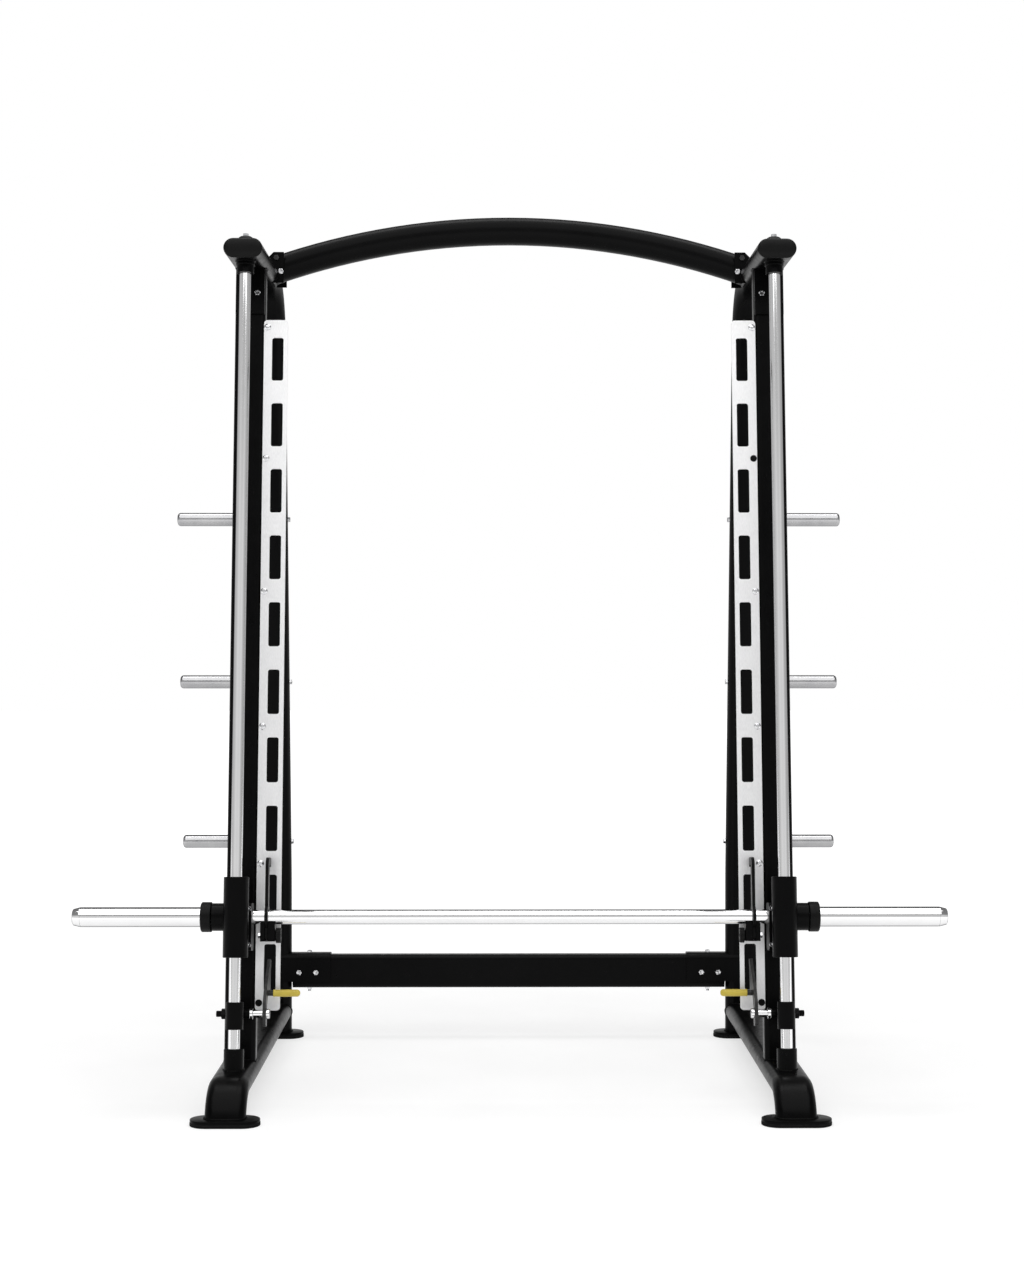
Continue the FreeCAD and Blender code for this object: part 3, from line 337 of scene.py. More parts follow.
def smooth_by_angle(limit):
    """Geometry nodes that drop stored normals, shade smooth and keep edges above a limit sharp."""
    group = bpy.data.node_groups.new("smooth_by_angle", "GeometryNodeTree")
    group.interface.new_socket("Geometry", in_out="INPUT", socket_type="NodeSocketGeometry")
    group.interface.new_socket("Geometry", in_out="OUTPUT", socket_type="NodeSocketGeometry")
    make = group.nodes.new
    source, result = make("NodeGroupInput"), make("NodeGroupOutput")
    drop = make("GeometryNodeRemoveAttribute")
    drop.inputs["Name"].default_value = "custom_normal"
    faces, all_edges, sharp = (make("GeometryNodeSetShadeSmooth") for _ in range(3))
    all_edges.domain = "EDGE"
    sharp.domain = "EDGE"
    sharp.inputs["Shade Smooth"].default_value = False
    angle, above = make("GeometryNodeInputMeshEdgeAngle"), make("FunctionNodeCompare")
    above.data_type, above.operation = "FLOAT", "GREATER_THAN"
    above.inputs["B"].default_value = limit
    links = (
        (source.outputs[0], drop.inputs["Geometry"]),
        (drop.outputs["Geometry"], faces.inputs["Geometry"]),
        (faces.outputs["Geometry"], all_edges.inputs["Geometry"]),
        (all_edges.outputs["Geometry"], sharp.inputs["Geometry"]),
        (angle.outputs["Unsigned Angle"], above.inputs["A"]),
        (above.outputs["Result"], sharp.inputs["Selection"]),
        (sharp.outputs["Geometry"], result.inputs[0]),
    )
    for first, second in links:
        group.links.new(first, second)
    return group


shading = smooth_by_angle(SHARP_EDGE)


def soften(node, width):
    """Round a CAD node's sharp edges by so many millimetres, as rolled, cut or cast edges are."""
    target = nodes[node]
    weld = target.modifiers.new("weld", "WELD")
    weld.merge_threshold = SAME_POINT
    flat = target.modifiers.new("flat", "DECIMATE")
    flat.decimate_type = "DISSOLVE"
    flat.angle_limit = FLAT_JOIN
    first = target.modifiers.new("shading", "NODES")
    first.node_group = shading
    bevel = target.modifiers.new("bevel", "BEVEL")
    bevel.width = width * MM
    bevel.segments = BEVEL_STEPS
    bevel.limit_method = "ANGLE"
    bevel.angle_limit = SHARP_EDGE
    bevel.use_clamp_overlap = True
    normals = target.modifiers.new("normals", "WEIGHTED_NORMAL")
    normals.keep_sharp = True


# ---------------------------------------------------------------- mesh building

# An axis whose upward part is as much as this is turned from the direction across, not from up.
STEEP_AXIS = 0.9


class Shape:
    """Points and faces of one piece, added part by part, in metres."""

    def __init__(self):
        self.points = []
        self.faces = []
        self.paints = []
        self.paint = 0

    def loft(self, rings, closed=False):
        """Skin rings of the same number of points; closed joins the last ring to the first."""
        start, count = len(self.points), len(rings[0])
        for ring in rings:
            self.points += ring
        added = []
        for step in range(len(rings) if closed else len(rings) - 1):
            low, high = start + step * count, start + (step + 1) % len(rings) * count
            for side in range(count):
                following = (side + 1) % count
                added.append((low + side, low + following, high + following, high + side))
        if not closed:
            last = start + (len(rings) - 1) * count
            added.append(tuple(start + side for side in reversed(range(count))))
            added.append(tuple(last + side for side in range(count)))
        self.faces += added
        self.paints += [self.paint] * len(added)

    def turn(self, at, axis, profile, count, closed=False):
        """Turn a profile of (distance, radius) in millimetres round an axis; either may be a function
        of the angle."""
        first = axis.cross(ACROSS if abs(axis.z) >= STEEP_AXIS else UP).normalized()
        second = axis.cross(first)
        rings = []
        for distance, radius in profile:
            ring = []
            for step in range(count):
                angle = math.tau * step / count
                reach = (radius(angle) if callable(radius) else radius) * MM
                travel = (distance(angle) if callable(distance) else distance) * MM
                spoke = first * math.cos(angle) + second * math.sin(angle)
                ring.append(at + axis * travel + spoke * reach)
            rings.append(ring)
        self.loft(rings, closed)


def piece(name, shape, body, slot, *materials, replaces=(), sharp=40):
    """Make a mesh object that rides on a body and takes its finish from a material slot. Edges that
    turn by more degrees than sharp look sharp."""
    mesh = bpy.data.meshes.new(name)
    mesh.from_pydata(shape.points, [], shape.faces)
    for material in materials or (finishes[slot],):
        mesh.materials.append(material)
    mesh.polygons.foreach_set("material_index", shape.paints)
    skin = bmesh.new()
    skin.from_mesh(mesh)
    bmesh.ops.recalc_face_normals(skin, faces=skin.faces)
    skin.to_mesh(mesh)
    skin.free()
    mesh.shade_smooth()
    mesh.set_sharp_from_angle(angle=math.radians(sharp))
    made = bpy.data.objects.new(name, mesh)
    bpy.context.scene.collection.objects.link(made)
    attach(made, body)
    if replaces:
        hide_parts(*replaces)


def finer(node, shape, *materials, sharp=40):
    """A detailed piece in the place of a CAD node, on its body and in its material slot."""
    piece(node + "_fine", shape, body_of[node], slot_of[node], *materials, replaces=[node], sharp=sharp)


ALMOST_STRAIGHT = 1e-4


def rounded(corners, steps=5):
    """Round the corners of an open or closed profile; each corner is (distance, radius, rounding)."""
    points = [Vector(corner[:2]) for corner in corners]
    result = []
    for index, (point, corner) in enumerate(zip(points, corners)):
        rounding = corner[2]
        if rounding == 0:
            result.append(tuple(point))
            continue
        before = (points[index - 1] - point).normalized()
        after = (points[(index + 1) % len(points)] - point).normalized()
        half = before.angle(after) / 2
        centre = point + (before + after).normalized() * (rounding / math.sin(half))
        start = point + before * (rounding / math.tan(half)) - centre
        end = point + after * (rounding / math.tan(half)) - centre
        for step in range(steps + 1):
            share = step / steps
            spoke = start.slerp(end, share) if start.angle(end) > ALMOST_STRAIGHT else start
            result.append(tuple(centre + spoke.normalized() * rounding))
    return result


def stadium(centre, across, up, width, depth, count=14):
    """A flat oval of a width and depth in millimetres; across and up are its two directions."""
    radius, reach = depth / 2, (width - depth) / 2
    ring = []
    for side, start in ((1, -90), (-1, 90)):
        for step in range(count + 1):
            angle = math.radians(start + 180 * step / count)
            sideways = side * reach + radius * math.cos(angle)
            ring.append(centre + (across * sideways + up * radius * math.sin(angle)) * MM)
    return ring


# ---------------------------------------------------------------- fasteners

# A hexagon's half width across its flats, as a share of its half width across its corners.
HEX_FLAT = math.cos(math.radians(30))
HEX_RADIUS, HEX_HEIGHT, HEX_SHANK = 7.8, 6.5, 4.5
HEX_POINTS = 48
# The cone that cuts a hexagon's corners: where it starts, as a share of the flats, and its slope.
CHAMFER_START, CHAMFER_SLOPE = 0.97, 0.5
# How wide a hexagon's flat top is, as a share of the flats.
CROWN = 0.9
# Rows of points in one turn of a thread.
THREAD_ROWS = 5
FINE_PITCH, COARSE_PITCH = 1.25, 2
LONGEST_THREAD = 11
# The height in metres between the bright and the blackened bolt of an arch bracket.
BLACKENED_ABOVE = 2.2


def hexagonal(radius):
    """The outline of a hexagon of a circumradius, as a radius at each angle."""
    sixth = math.tau / 6
    return lambda angle: radius * HEX_FLAT / math.cos((angle % sixth) - sixth / 2)


def chamfered(height, radius, sign=1):
    """How high a hexagon's side reaches at each angle below a cone that cuts its corners."""
    outline = hexagonal(radius)
    start = radius * HEX_FLAT * CHAMFER_START
    return lambda angle: height - sign * max(0, outline(angle) - start) * CHAMFER_SLOPE


def solids_of(node):
    """The separate solids of a CAD node, each as a list of its points."""
    mesh = nodes[node].data
    keys = [tuple(round(value, 6) for value in vertex.co) for vertex in mesh.vertices]
    owner = {key: key for key in keys}

    def root(key):
        while owner[key] != key:
            owner[key] = owner[owner[key]]
            key = owner[key]
        return key

    for polygon in mesh.polygons:
        first = root(keys[polygon.vertices[0]])
        for index in polygon.vertices[1:]:
            owner[root(keys[index])] = first
    groups = {}
    for key in owner:
        groups.setdefault(root(key), []).append(Vector(key))
    return list(groups.values())


class Turned:
    """A CAD solid's axis, pointing to its wider end, with its length and width in millimetres."""

    AT_END = 1e-4
    LONG = 0.9

    def __init__(self, points, axes):
        spans = []
        for axis in axes:
            travels = [point.dot(axis) for point in points]
            spans.append((min(travels), max(travels)))
        lengths = [high - low for low, high in spans]
        odd = min(range(3), key=lambda index: abs(lengths[index - 2] - lengths[index - 1]))
        self.length = lengths[odd] / MM
        self.width = max(lengths[odd - 2], lengths[odd - 1]) / MM
        middle = sum((axis * (low + high) / 2 for axis, (low, high) in zip(axes, spans)), Vector())
        axis = axes[odd]
        low, high = spans[odd]

        def reach(level):
            """The largest radius at one end."""
            return max(((point - middle) - axis * (point - middle).dot(axis)).length
                       for point in points if abs(point.dot(axis) - level) < self.AT_END)

        self.axis = axis if reach(high) >= reach(low) else -axis
        self.top = middle + self.axis * self.length / 2 * MM
        self.long = self.length > self.width * self.LONG


def hex_head(shape, top, axis):
    """A chamfered hexagon head with a thin washer face, its top at a point."""
    outline = hexagonal(HEX_RADIUS)
    face, flat = 0.6, HEX_RADIUS * HEX_FLAT
    dish_depth, dish_radius = 0.35, HEX_RADIUS * 0.55
    shape.turn(top - axis * HEX_HEIGHT * MM, axis, [
        (0, flat * CHAMFER_START), (face, flat * CHAMFER_START), (face, outline),
        (chamfered(HEX_HEIGHT, HEX_RADIUS), outline), (HEX_HEIGHT, flat * CROWN),
        (HEX_HEIGHT - dish_depth, dish_radius)], HEX_POINTS)


def hex_nut(shape, solid, radius, height):
    """A hexagon nut, chamfered on both faces, in the place of a CAD solid."""
    outline = hexagonal(radius)
    shape.turn(solid.top - solid.axis * height * MM, solid.axis, [
        (0, radius * HEX_FLAT * CROWN), (chamfered(0, radius, -1), outline),
        (chamfered(height, radius), outline), (height, radius * HEX_FLAT * CROWN)], HEX_POINTS)


def threaded(shape, start, axis, length, radius, thread, pitch):
    """A plain shank that ends in a screw thread with a chamfered tip."""
    depth, run_out = pitch * 0.3, 0.2
    taper, tip_cut = 0.6, 1.1
    plain = length - thread
    rows = [(0, radius), (plain - run_out, radius)]

    def crest(travel):
        tip = max(0, 1 - (length - travel)) * taper
        return lambda angle: radius - tip - depth * (
            0.5 + 0.5 * math.cos(math.tau * travel / pitch - angle))

    for row in range(int(thread / pitch * THREAD_ROWS)):
        travel = plain + row * pitch / THREAD_ROWS
        rows.append((travel, crest(travel)))
    rows.append((length, radius - tip_cut))
    shape.turn(start, axis, rows, count=24)


def button_head(shape, base, axis, radius, height):
    """A plain domed head."""
    corners = [(0, radius, 0), (height * 0.3, radius, 0.5), (height * 0.95, radius * 0.62, 3),
               (height, 0.5, 0)]
    shape.turn(base, axis, rounded(corners, steps=8), count=36)


def cap_head(shape, base, axis, radius, height):
    """A cylindrical head with a knurled side and a hexagon socket."""
    socket, ridges, ridge_height = radius / 2, 24, 0.25

    def knurl(angle):
        return radius - ridge_height * (0.5 + 0.5 * math.cos(angle * ridges))

    shape.turn(base, axis, [
        (0, radius - 0.4), (0.5, knurl), (height - 0.9, knurl), (height, radius - 0.8),
        (height, socket * 1.15), (height - 0.1, hexagonal(socket)), (height * 0.45, hexagonal(socket)),
        (height * 0.35, socket * 0.3)], count=72)


def hex_bolt(shape, solid, thread):
    """A hexagon bolt in the place of a CAD solid."""
    hex_head(shape, solid.top, solid.axis)
    neck = HEX_HEIGHT - 0.5
    start = solid.top - solid.axis * neck * MM
    threaded(shape, start, -solid.axis, solid.length - neck, HEX_SHANK, thread, FINE_PITCH)


def hex_fasteners(node, axes, dark_above=None):
    """Hexagon bolts and nuts in the places of a node's solids, blackened above a height in metres."""
    shape = Shape()
    materials = [finishes[slot_of[node]]]
    if dark_above is not None:
        materials.append(finishes["catch_steel"])
    for points in solids_of(node):
        solid = Turned(points, axes)
        shape.paint = int(dark_above is not None and solid.top.z > dark_above)
        if solid.long:
            hex_bolt(shape, solid, min(LONGEST_THREAD, solid.length / 2))
        else:
            hex_nut(shape, solid, HEX_RADIUS, HEX_HEIGHT)
    finer(node, shape, *materials)


def round_fasteners(node, head, radius, height, shank, thread=6):
    """Round-headed screws in the places of a node's solids, their shanks let a little into their heads."""
    shape = Shape()
    inset = 0.2
    for points in solids_of(node):
        solid = Turned(points, ROD_AXES)
        base = solid.top - solid.axis * height * MM
        head(shape, base, solid.axis, radius, height)
        length = solid.length - height + inset
        threaded(shape, base + solid.axis * inset * MM, -solid.axis, length, shank, thread, FINE_PITCH)
    finer(node, shape)


def head_bolts():
    """The bolts on the head tubes with the black domed washers that they sit on."""
    shape = Shape()
    thread, washer_height = 20, 17
    dome = [(0, 23.4), (1, 24), (3.5, 23.8), (7, 22.6), (10.5, 20.4), (13.5, 17.2), (15.6, 13.6), (16.8, 10),
            (washer_height, 8.5), (washer_height, HEX_SHANK + 0.6)]
    for points in solids_of("rod_head_bolts"):
        solid = Turned(points, WORLD_AXES)
        if solid.long:
            shape.paint = 0
            hex_bolt(shape, solid, thread)
        else:
            shape.paint = 1
            top = Vector((solid.top.x, solid.top.y, max(point.z for point in points)))
            shape.turn(top - UP * washer_height * MM, UP, dome, count=40)
    finer("rod_head_bolts", shape, finishes["zinc_steel"], finishes["black_plastic"])


def pivot_bolts(node):
    """The pivot of a safety catch: a low bright head, a plain black shank and a lock nut."""
    shape = Shape()
    shank, thread, neck = 8, 24, 8.3
    nut_radius, nut_height = 14, 12
    rim, head_height = 12.5, 8.5
    head = rounded([(0, 4, 0), (0.2, 4.5, 0), (0, 11.4, 1.2), (2, rim, 1.2), (head_height, rim, 0),
                    (head_height, shank, 0)])
    for points in solids_of(node):
        solid = Turned(points, ROD_AXES)
        if solid.long:
            shape.paint = 1
            shape.turn(solid.top, -solid.axis, head, count=48)
            shape.paint = 0
            start = solid.top - solid.axis * neck * MM
            threaded(shape, start, -solid.axis, solid.length - neck, shank, thread, COARSE_PITCH)
        else:
            hex_nut(shape, solid, nut_radius, nut_height)
    finer(node, shape, finishes[slot_of[node]], chrome_across)


hex_fasteners("upright_bolts", ROD_AXES)
hex_fasteners("horn_bolts", WORLD_AXES)
hex_fasteners("arch_bolts", WORLD_AXES, dark_above=BLACKENED_ABOVE)
hex_fasteners("crossbeam_bolts", WORLD_AXES)
hex_fasteners("hook_bolts", ROD_AXES)
for bolts in ("slot_plate_bolts", "slot_plate_black_bolts"):
    round_fasteners(bolts, button_head, radius=8.75, height=5, shank=4)
round_fasteners("stop_screws", cap_head, radius=6, height=6, shank=3)
head_bolts()
pivot_bolts("left_catch_bolt")
pivot_bolts("right_catch_bolt")


# ---------------------------------------------------------------- moulded and turned parts

# Profiles of turned parts are rounded corners of (distance along the axis, radius, rounding).

def end_caps():
    """Pillow-shaped plugs in the front ends of the head tubes, as sections of (travel forward, inset)."""
    shape = Shape()
    head_front = -216
    plug = [(-20, 4.5), (-19, 3.1), (0, 3.1)]
    face = [(0, 0), (1, 0), (1.5, 0.5), (2.8, 1.4), (4.4, 3.2), (6, 6.2), (7.3, 10.2), (8.2, 14.6), (8.6, 19),
            (8.7, 23)]
    for side in SIDES:
        front = Vector((side * HALF_GAUGE, head_front, HEAD_LEVEL)) * MM
        shape.loft([
            stadium(front - DEEP * travel * MM, ACROSS, UP, OVAL_WIDTH - 2 * inset, OVAL_DEPTH - 2 * inset)
            for travel, inset in plug + face])
    finer("top_end_caps", shape, sharp=50)


def feet():
    """The steel foot plates and the grooved rubber pads under them, as sections of (height, inset)."""
    plates, pads = Shape(), Shape()
    width, depth, corner_points = 170, 85, 28
    pad_wall = [(0, 2.2), (0.4, 0.8), (1.2, 0), (3.4, 0), (3.9, 0.8), (4.7, 0.8), (5.2, 0), (7.9, 0),
                (8.7, 0.6), (9, 1.8)]
    plate_wall = [(9, 1.2), (9.5, 0.6), (14.4, 0.6), (15.5, 1.1), (16, 2.4)]
    for side in SIDES:
        for y in (-FOOT_REACH, FOOT_REACH):
            foot = Vector((side * HALF_GAUGE, y, 0)) * MM
            for shape, wall in ((pads, pad_wall), (plates, plate_wall)):
                rings = []
                for height, inset in wall:
                    size = width - 2 * inset, depth - 2 * inset
                    rings.append(stadium(foot + UP * height * MM, ACROSS, DEEP, *size, corner_points))
                shape.loft(rings)
    finer("foot_pads", pads, sharp=50)
    finer("foot_plates", plates)


def plate_stops():
    """The rings with rounded rims that stop the plates at the sleeves' inner ends."""
    shape = Shape()
    start, bore, rim = 753.5, 18.6, 37.8
    ring = rounded([(0.1, bore, 0.4), (0.1, 35.6, 0.8), (1.4, rim, 1), (24.6, rim, 1.6), (26.9, 34.6, 1.2),
                    (26.9, bore, 0.4)], steps=4)
    for side in SIDES:
        shape.turn(on_bar(side * start), ACROSS * side, ring, count=64, closed=True)
    finer("plate_stops", shape)


def sleeve_noses():
    """The tapered noses of the sleeves, dished at their tips."""
    shape = Shape()
    start, root, shoulder = 1084, 18.4, 24.9
    nose = rounded([(-4, root, 0), (0, root, 0), (0, shoulder, 0.4), (2.5, shoulder, 0.8), (19, 20.6, 1.6),
                    (21, 17, 1.6), (20.2, 6, 0)], steps=4)
    for side in SIDES:
        shape.turn(on_bar(side * start), ACROSS * side, nose, count=56)
    finer("sleeve_end_caps", shape, chrome_across)


def knobs():
    """Fluted round nuts that lock the hooks."""
    shape = Shape()
    start, drop = 593, 46
    bore, rim, flutes, flute_depth = 4.6, 19, 12, 1.1

    def fluted(shrink):
        return lambda angle: rim - shrink - flute_depth * max(0, math.cos(angle * flutes)) ** 2

    profile = [(0, bore), (0, 12), (0.8, 13), (1.8, fluted(1.2)), (2.8, fluted(0)), (12.6, fluted(0)),
               (14.2, fluted(1.4)), (15, 12.5), (14.2, 11), (14.2, bore)]
    for side in SIDES:
        at = on_rod(side * start, BAR_OFFSET, BAR_HEIGHT - drop)
        shape.turn(at, -ACROSS * side, profile, count=96, closed=True)
    finer("hook_knobs", shape)


def catch_grip(node, side):
    """A dipped vinyl grip with a rolled mouth, on the stub of a safety catch."""
    shape = Shape()
    start, offset, height = 598, 76, 183.5
    bore, centre, bore_end = 7.1, 0.4, 60
    skin = rounded([(0.2, bore, 0.3), (0.2, 8.9, 0.7), (3, 9.2, 1), (4.6, 8.7, 1.5), (12, 8.8, 2), (50, 9, 4),
                    (67.9, 9.1, 7.9), (67.9, centre, 0)], steps=7)
    profile = skin + [(bore_end, centre), (bore_end, bore)]
    shape.turn(on_rod(side * start, offset, height), -ACROSS * side, profile, count=40, closed=True)
    finer(node, shape, sharp=60)


def wipers():
    """Lipped seals in the ends of the carriages."""
    shape = Shape()
    low_end, high_end, rim = 276.5, 471.5, 22.4
    lip = rounded([(0, rim, 0.3), (5, rim, 0.3), (5, 18.5, 0.6), (3.6, 17, 0.4), (4.4, 15.4, 0.2),
                   (3, 15.4, 0.2), (1.2, 17.4, 0.4), (0, 18.2, 0.4)], steps=3)
    for side in SIDES:
        for start, way in ((low_end, 1), (high_end, -1)):
            shape.turn(on_rod(side * HALF_GAUGE, 0, start), ALONG_ROD * way, lip, count=56, closed=True)
    finer("rod_wipers", shape)


end_caps()
feet()
plate_stops()
sleeve_noses()
knobs()
catch_grip("right_catch_grip", 1)
catch_grip("left_catch_grip", -1)
wipers()


# ---------------------------------------------------------------- welds and set screws

BEAD_STEP = 1.3
BEAD_SIDES = 7
FOOT_BEAD, TUBE_BEAD, SOCKET_BEAD, BRACKET_BEAD, HOUSING_BEAD = 3, 2.8, 2.2, 2.4, 3.2
# How far the ripples of a bead swell, one after another, as shares of its radius.
RIPPLES = (1.0, 0.92, 0.8)
WELD_SHARP = 75
# A bead that climbs as steeply as this takes its section from the direction across, not from up.
STEEP_BEAD = 0.95


def evenly(path, closed):
    """Points a bead step apart along a path, a whole number of ripples in all."""
    corners = path + [path[0]] if closed else path
    lengths, shortest = [0.0], 1e-9
    for first, second in zip(corners, corners[1:]):
        lengths.append(lengths[-1] + (second - first).length / MM)
    count = max(len(RIPPLES), round(lengths[-1] / BEAD_STEP / len(RIPPLES)) * len(RIPPLES))
    result, span = [], 0
    for step in range(count if closed else count + 1):
        travel = lengths[-1] * step / count
        while span < len(lengths) - 2 and lengths[span + 1] < travel:
            span += 1
        share = (travel - lengths[span]) / max(lengths[span + 1] - lengths[span], shortest)
        result.append(corners[span].lerp(corners[span + 1], min(share, 1)))
    return result


def bead(shape, path, radius, closed=True):
    """A weld along a path, rippled like laid coins; an open one swells from its ends."""
    points = evenly(path, closed)
    count = len(points)
    start_size, growth = 0.35, 0.3
    rings = []
    for index, point in enumerate(points):
        before = points[index - 1] if closed or index else point
        after = points[(index + 1) % count] if closed or index < count - 1 else point
        forward = (after - before).normalized()
        side = forward.cross(ACROSS if abs(forward.z) >= STEEP_BEAD else UP).normalized()
        other = forward.cross(side)
        swell = radius * RIPPLES[index % len(RIPPLES)]
        if not closed:
            swell *= min(1, start_size + growth * index, start_size + growth * (count - 1 - index))
        rings.append([
            point + (side * math.cos(angle) + other * math.sin(angle)) * swell * MM
            for angle in (math.tau * step / BEAD_SIDES for step in range(BEAD_SIDES))])
    shape.loft(rings, closed)


def oval_face(offset):
    """How far a flat-oval tube's face stands from its middle plane, at an offset from its middle."""
    beyond = max(0, abs(offset) - (OVAL_WIDTH - OVAL_DEPTH) / 2)
    return math.sqrt(max(0, (OVAL_DEPTH / 2) ** 2 - beyond ** 2))


def upright_section(steps=6):
    """Points of the front upright's rounded rectangle, as (across, behind rod)."""
    half_width, half_depth, corner, middle = 40, 25, 12, 143
    points = []
    for x_sign, y_sign, start in ((1, 1, 0), (-1, 1, 90), (-1, -1, 180), (1, -1, 270)):
        for step in range(steps + 1):
            angle = math.radians(start + 90 * step / steps)
            points.append((x_sign * (half_width - corner) + corner * math.cos(angle),
                           middle + y_sign * (half_depth - corner) + corner * math.sin(angle)))
    return points


def bead_round(shape, side, section, level, lift, radius):
    """The weld where a section of (across, behind rod) points along the rod meets a flat-oval tube at
    a level; lift is the tube's side, 1 for its top and -1 for its bottom."""
    path = []
    for x, y in section:
        height = level + lift * oval_face(x)
        along = (height - ROD_FOOT_LEVEL + y * math.sin(LEAN)) / math.cos(LEAN)
        path.append(on_rod(side * (HALF_GAUGE + x), y, along))
    bead(shape, path, radius)


def socket_section(radius, steps=40):
    """Points round a rod socket, as (across, behind rod)."""
    angles = [math.tau * step / steps for step in range(steps)]
    return [(radius * math.cos(angle), radius * math.sin(angle)) for angle in angles]


def foot_beads(shape, side):
    """The welds of the base tube and the rear frame on their foot plates."""
    level, width = 16.5, 102
    front, front_depth, rear, rear_depth = -569, 55, FOOT_REACH, 52
    for y, depth in ((front, front_depth), (rear, rear_depth)):
        foot = Vector((side * HALF_GAUGE, y, level)) * MM
        bead(shape, stadium(foot, ACROSS, DEEP, width, depth), FOOT_BEAD)


def base_end_bead(shape, side):
    """The weld of the base tube's rear end on the face of the rear frame."""
    path = []
    for point in stadium(Vector(), ACROSS, UP, OVAL_WIDTH, OVAL_DEPTH, 20):
        y = FOOT_REACH - oval_face(point.x / MM)
        path.append(Vector((side * HALF_GAUGE * MM + point.x, y * MM, BASE_LEVEL * MM + point.z)))
    bead(shape, path, TUBE_BEAD)


def bracket_beads(shape, side):
    """The welds of an arch bracket's front and rear faces round the head tube's inner edge."""
    front, rear = 175.2, 264.8
    steps, first_angle, sweep = 12, 90, 140
    middle, reach = HALF_GAUGE - (OVAL_WIDTH - OVAL_DEPTH) / 2, 25.3
    start_x, start_level = 661.5, 2195.4
    for y in (front, rear):
        curve = [Vector((side * start_x, y, start_level)) * MM]
        for step in range(steps + 1):
            angle = math.radians(first_angle + sweep * step / steps)
            x, level = middle + reach * math.cos(angle), HEAD_LEVEL + reach * math.sin(angle)
            curve.append(Vector((side * x, y, level)) * MM)
        bead(shape, curve, BRACKET_BEAD, closed=False)


def frame_welds():
    """The frame's welds at its feet, uprights, rod sockets, base tubes and arch brackets."""
    shape = Shape()
    bottom_socket, top_socket = 25.4, 24.9
    for side in SIDES:
        foot_beads(shape, side)
        for level, lift in ((BASE_LEVEL, 1), (HEAD_LEVEL, -1)):
            bead_round(shape, side, upright_section(), level, lift, TUBE_BEAD)
        for socket, level, lift in ((bottom_socket, BASE_LEVEL, 1), (top_socket, HEAD_LEVEL, -1)):
            bead_round(shape, side, socket_section(socket), level, lift, SOCKET_BEAD)
        base_end_bead(shape, side)
        bracket_beads(shape, side)
    piece("frame_welds", shape, "frame", "powder_coat", sharp=WELD_SHARP)


def carriage_welds():
    """The bead round each bar housing where it is let into the carriage."""
    shape = Shape()
    housing, tube = 34.8, 31.5
    half_height, steps = 14.0, 24
    for side in SIDES:
        path = []
        for half in (1, -1):
            for step in range(steps):
                height = half_height * math.cos(math.pi * step / steps) * half
                y = BAR_OFFSET - math.sqrt(housing ** 2 - height ** 2)
                x = math.sqrt(max(0, tube ** 2 - y ** 2))
                path.append(on_rod(side * (HALF_GAUGE + half * x), y, BAR_HEIGHT + height))
        bead(shape, path, HOUSING_BEAD)
    piece("carriage_welds", shape, "carriage", "powder_coat", sharp=WELD_SHARP)


def set_screws():
    """The small socket screws that hold the rods' feet."""
    shape = Shape()
    inward, socket_face, height, socket = 4, -24.6, 36, hexagonal(1.7)
    profile = [(0, 3.4), (0.7, 3.4), (1, 3), (1, 1.9), (0.9, socket), (-0.8, socket), (-1, 0.4)]
    for side in SIDES:
        at = on_rod(side * HALF_GAUGE - side * inward, socket_face, height)
        shape.turn(at, -BEHIND_ROD, profile, count=36)
    piece("foot_set_screws", shape, "frame", "black_steel")


frame_welds()
carriage_welds()
set_screws()


# ---------------------------------------------------------------- finishes on the CAD nodes

# How far edges are softened, in millimetres, and on which nodes.
BEVELS = {
    0.6: ("left_catch_liner", "right_catch_liner"),
    0.7: ("left_slot_plate", "right_slot_plate", "left_hook_plate", "right_hook_plate", "left_catch_lever",
          "right_catch_lever"),
    0.8: ("left_sleeve", "right_sleeve", "left_catch_spacer", "right_catch_spacer"),
    1.0: ("bar_housings", "rod_head_sockets", "arch_brackets", "crossbeam_brackets", "upright_brackets"),
    1.2: ("left_catch_collar", "right_catch_collar", "hook_blocks", "stop_plates", "rod_foot_sockets"),
    1.5: ("left_carriage_tube", "right_carriage_tube"),
}
for node_name, node in nodes.items():
    material = chrome_across if node_name in LYING_CHROME else finishes[slot_of[node_name]]
    node.data.materials.clear()
    node.data.materials.append(material)
for width, softened in BEVELS.items():
    for node_name in softened:
        soften(node_name, width)


# ---------------------------------------------------------------- studio

FLOOR_RADIUS, FLOOR_POINTS = 30, 64
# The walls' grey by how far a direction looks up, and by how far it looks to the right.
TONES_BY_HEIGHT = ((0, 0.72), (0.28, 0.71), (0.45, 0.27), (0.9, 0.18), (1, 0.5))
TONES_BY_WIDTH = ((-1, 0.7), (-0.6, 1), (-0.2, 0.95), (0.2, 0.93), (0.57, 1), (0.8, 0.8), (0.96, 0.58),
                  (1, 0.55))
WHITE = (1, 1, 1, 1)
LENS = 60.33
CAMERA_PLACE = (-0.0313, -5.723, 1.1635)
CAMERA_TURN = (math.radians(90), 0, math.radians(-0.374))


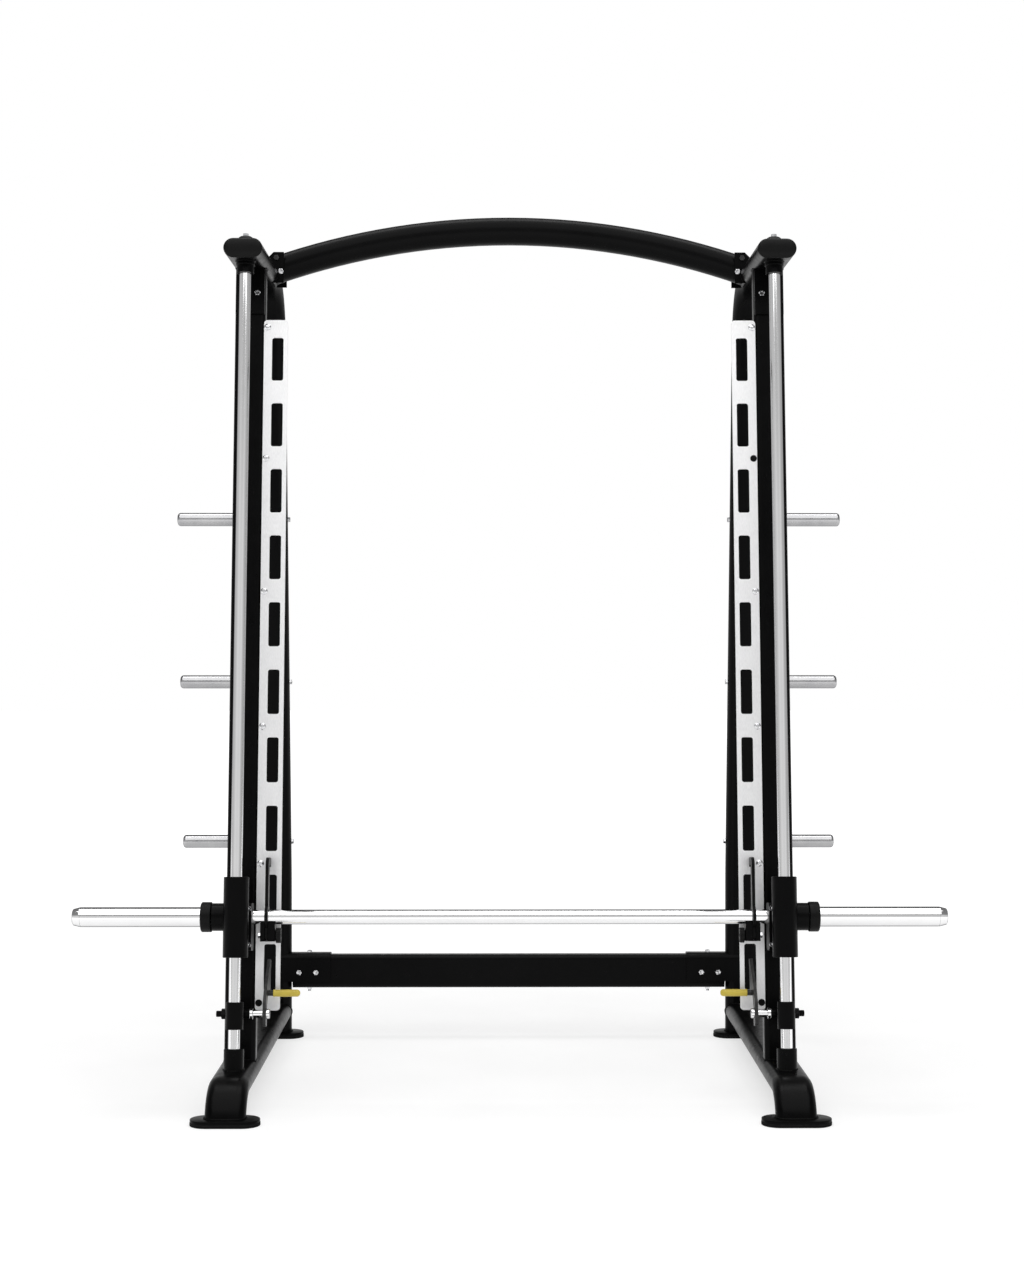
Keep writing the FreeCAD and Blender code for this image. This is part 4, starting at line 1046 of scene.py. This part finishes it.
def studio_floor():
    """A wide pale floor: matt white paper, barely mottled, lit from below far from the machine."""
    finish = Finish("studio_white", Specular_IOR_Level=0.1, Emission_Color=WHITE)
    finish.colour(finish.cover(grey(0.38), grey(0.42), finish.noise(scale=3, detail=3)))
    finish.roughness(finish.noise(scale=20, detail=3), 0.8, 0.95)
    distance = finish.node("ShaderNodeVectorMath", operation="LENGTH")
    finish.join(finish.place, distance.inputs[0])
    glow = finish.spread(distance.outputs["Value"], 0.63, 1.1, start=1, end=6)
    finish.join(glow, finish.shader.inputs["Emission Strength"])
    angles = [math.tau * step / FLOOR_POINTS for step in range(FLOOR_POINTS)]
    points = [(FLOOR_RADIUS * math.cos(angle), FLOOR_RADIUS * math.sin(angle), 0) for angle in angles]
    mesh = bpy.data.meshes.new("floor")
    mesh.from_pydata(points, [], [tuple(range(FLOOR_POINTS))])
    mesh.materials.append(finish.material)
    made = bpy.data.objects.new("floor", mesh)
    bpy.context.scene.collection.objects.link(made)


def softbox(name, y, width, depth, power):
    """A rectangular light under the ceiling, over a line across the floor, facing straight down."""
    height = 5.4
    light = bpy.data.lights.new(name, "AREA")
    light.shape = "RECTANGLE"
    light.size, light.size_y, light.energy = width, depth, power
    lamp = bpy.data.objects.new(name, light)
    lamp.location = (0, y, height)
    lamp.rotation_euler = Vector((0, 0, -height)).to_track_quat("-Z", "Y").to_euler()
    bpy.context.scene.collection.objects.link(lamp)


def mixed(tree, blend_type, factor, first, second):
    """A colour mixed from two; the factor and the colours are plain values or outputs of nodes."""
    mix = tree.nodes.new("ShaderNodeMix")
    mix.data_type = "RGBA"
    mix.blend_type = blend_type
    for socket, value in ((mix.inputs["Factor"], factor), (mix.inputs[MIX_FIRST], first),
                          (mix.inputs[MIX_SECOND], second)):
        if isinstance(value, bpy.types.NodeSocket):
            tree.links.new(value, socket)
        else:
            socket.default_value = value
    return mix.outputs[MIX_RESULT]


def toned(tree, source, tones):
    """Grey tones along one part of a direction, as (value, grey) from its least value to 1."""
    low = tones[0][0]
    share = tree.nodes.new("ShaderNodeMapRange")
    share.inputs["From Min"].default_value = low
    tree.links.new(source, share.inputs["Value"])
    ramp = tree.nodes.new("ShaderNodeValToRGB")
    while len(ramp.color_ramp.elements) < len(tones):
        ramp.color_ramp.elements.new(0.5)
    for element, (place, tone) in zip(ramp.color_ramp.elements, tones):
        element.position = (place - low) / (1 - low)
        element.color = (*grey(tone), 1)
    tree.links.new(share.outputs["Result"], ramp.inputs["Fac"])
    return ramp.outputs["Color"]


def studio_walls():
    """Pale walls to above head height under a dim ceiling, uneven from side to side; plain white behind."""
    world = bpy.data.worlds.new("studio")
    bpy.context.scene.world = world
    world.use_nodes = True
    tree = world.node_tree
    toward = tree.nodes.new("ShaderNodeSeparateXYZ")
    tree.links.new(tree.nodes.new("ShaderNodeTexCoord").outputs["Generated"], toward.inputs["Vector"])
    by_height = toned(tree, toward.outputs["Z"], TONES_BY_HEIGHT)
    by_width = toned(tree, toward.outputs["X"], TONES_BY_WIDTH)
    walls = mixed(tree, "MULTIPLY", 1, by_height, by_width)
    seen = tree.nodes.new("ShaderNodeLightPath").outputs["Is Camera Ray"]
    tree.links.new(mixed(tree, "MIX", seen, walls, WHITE), tree.nodes["Background"].inputs["Color"])


studio_floor()
studio_walls()
softbox("overhead", y=-3.95, width=9.0, depth=7.3, power=345)
softbox("strip", y=0.9, width=5.0, depth=1.6, power=85)

camera = bpy.data.objects.new("camera", bpy.data.cameras.new("camera"))
camera.data.lens = LENS
camera.location = CAMERA_PLACE
camera.rotation_euler = Euler(CAMERA_TURN)
bpy.context.scene.collection.objects.link(camera)
bpy.context.scene.camera = camera
bpy.context.scene.view_settings.view_transform = "Standard"

bpy.context.view_layer.update()
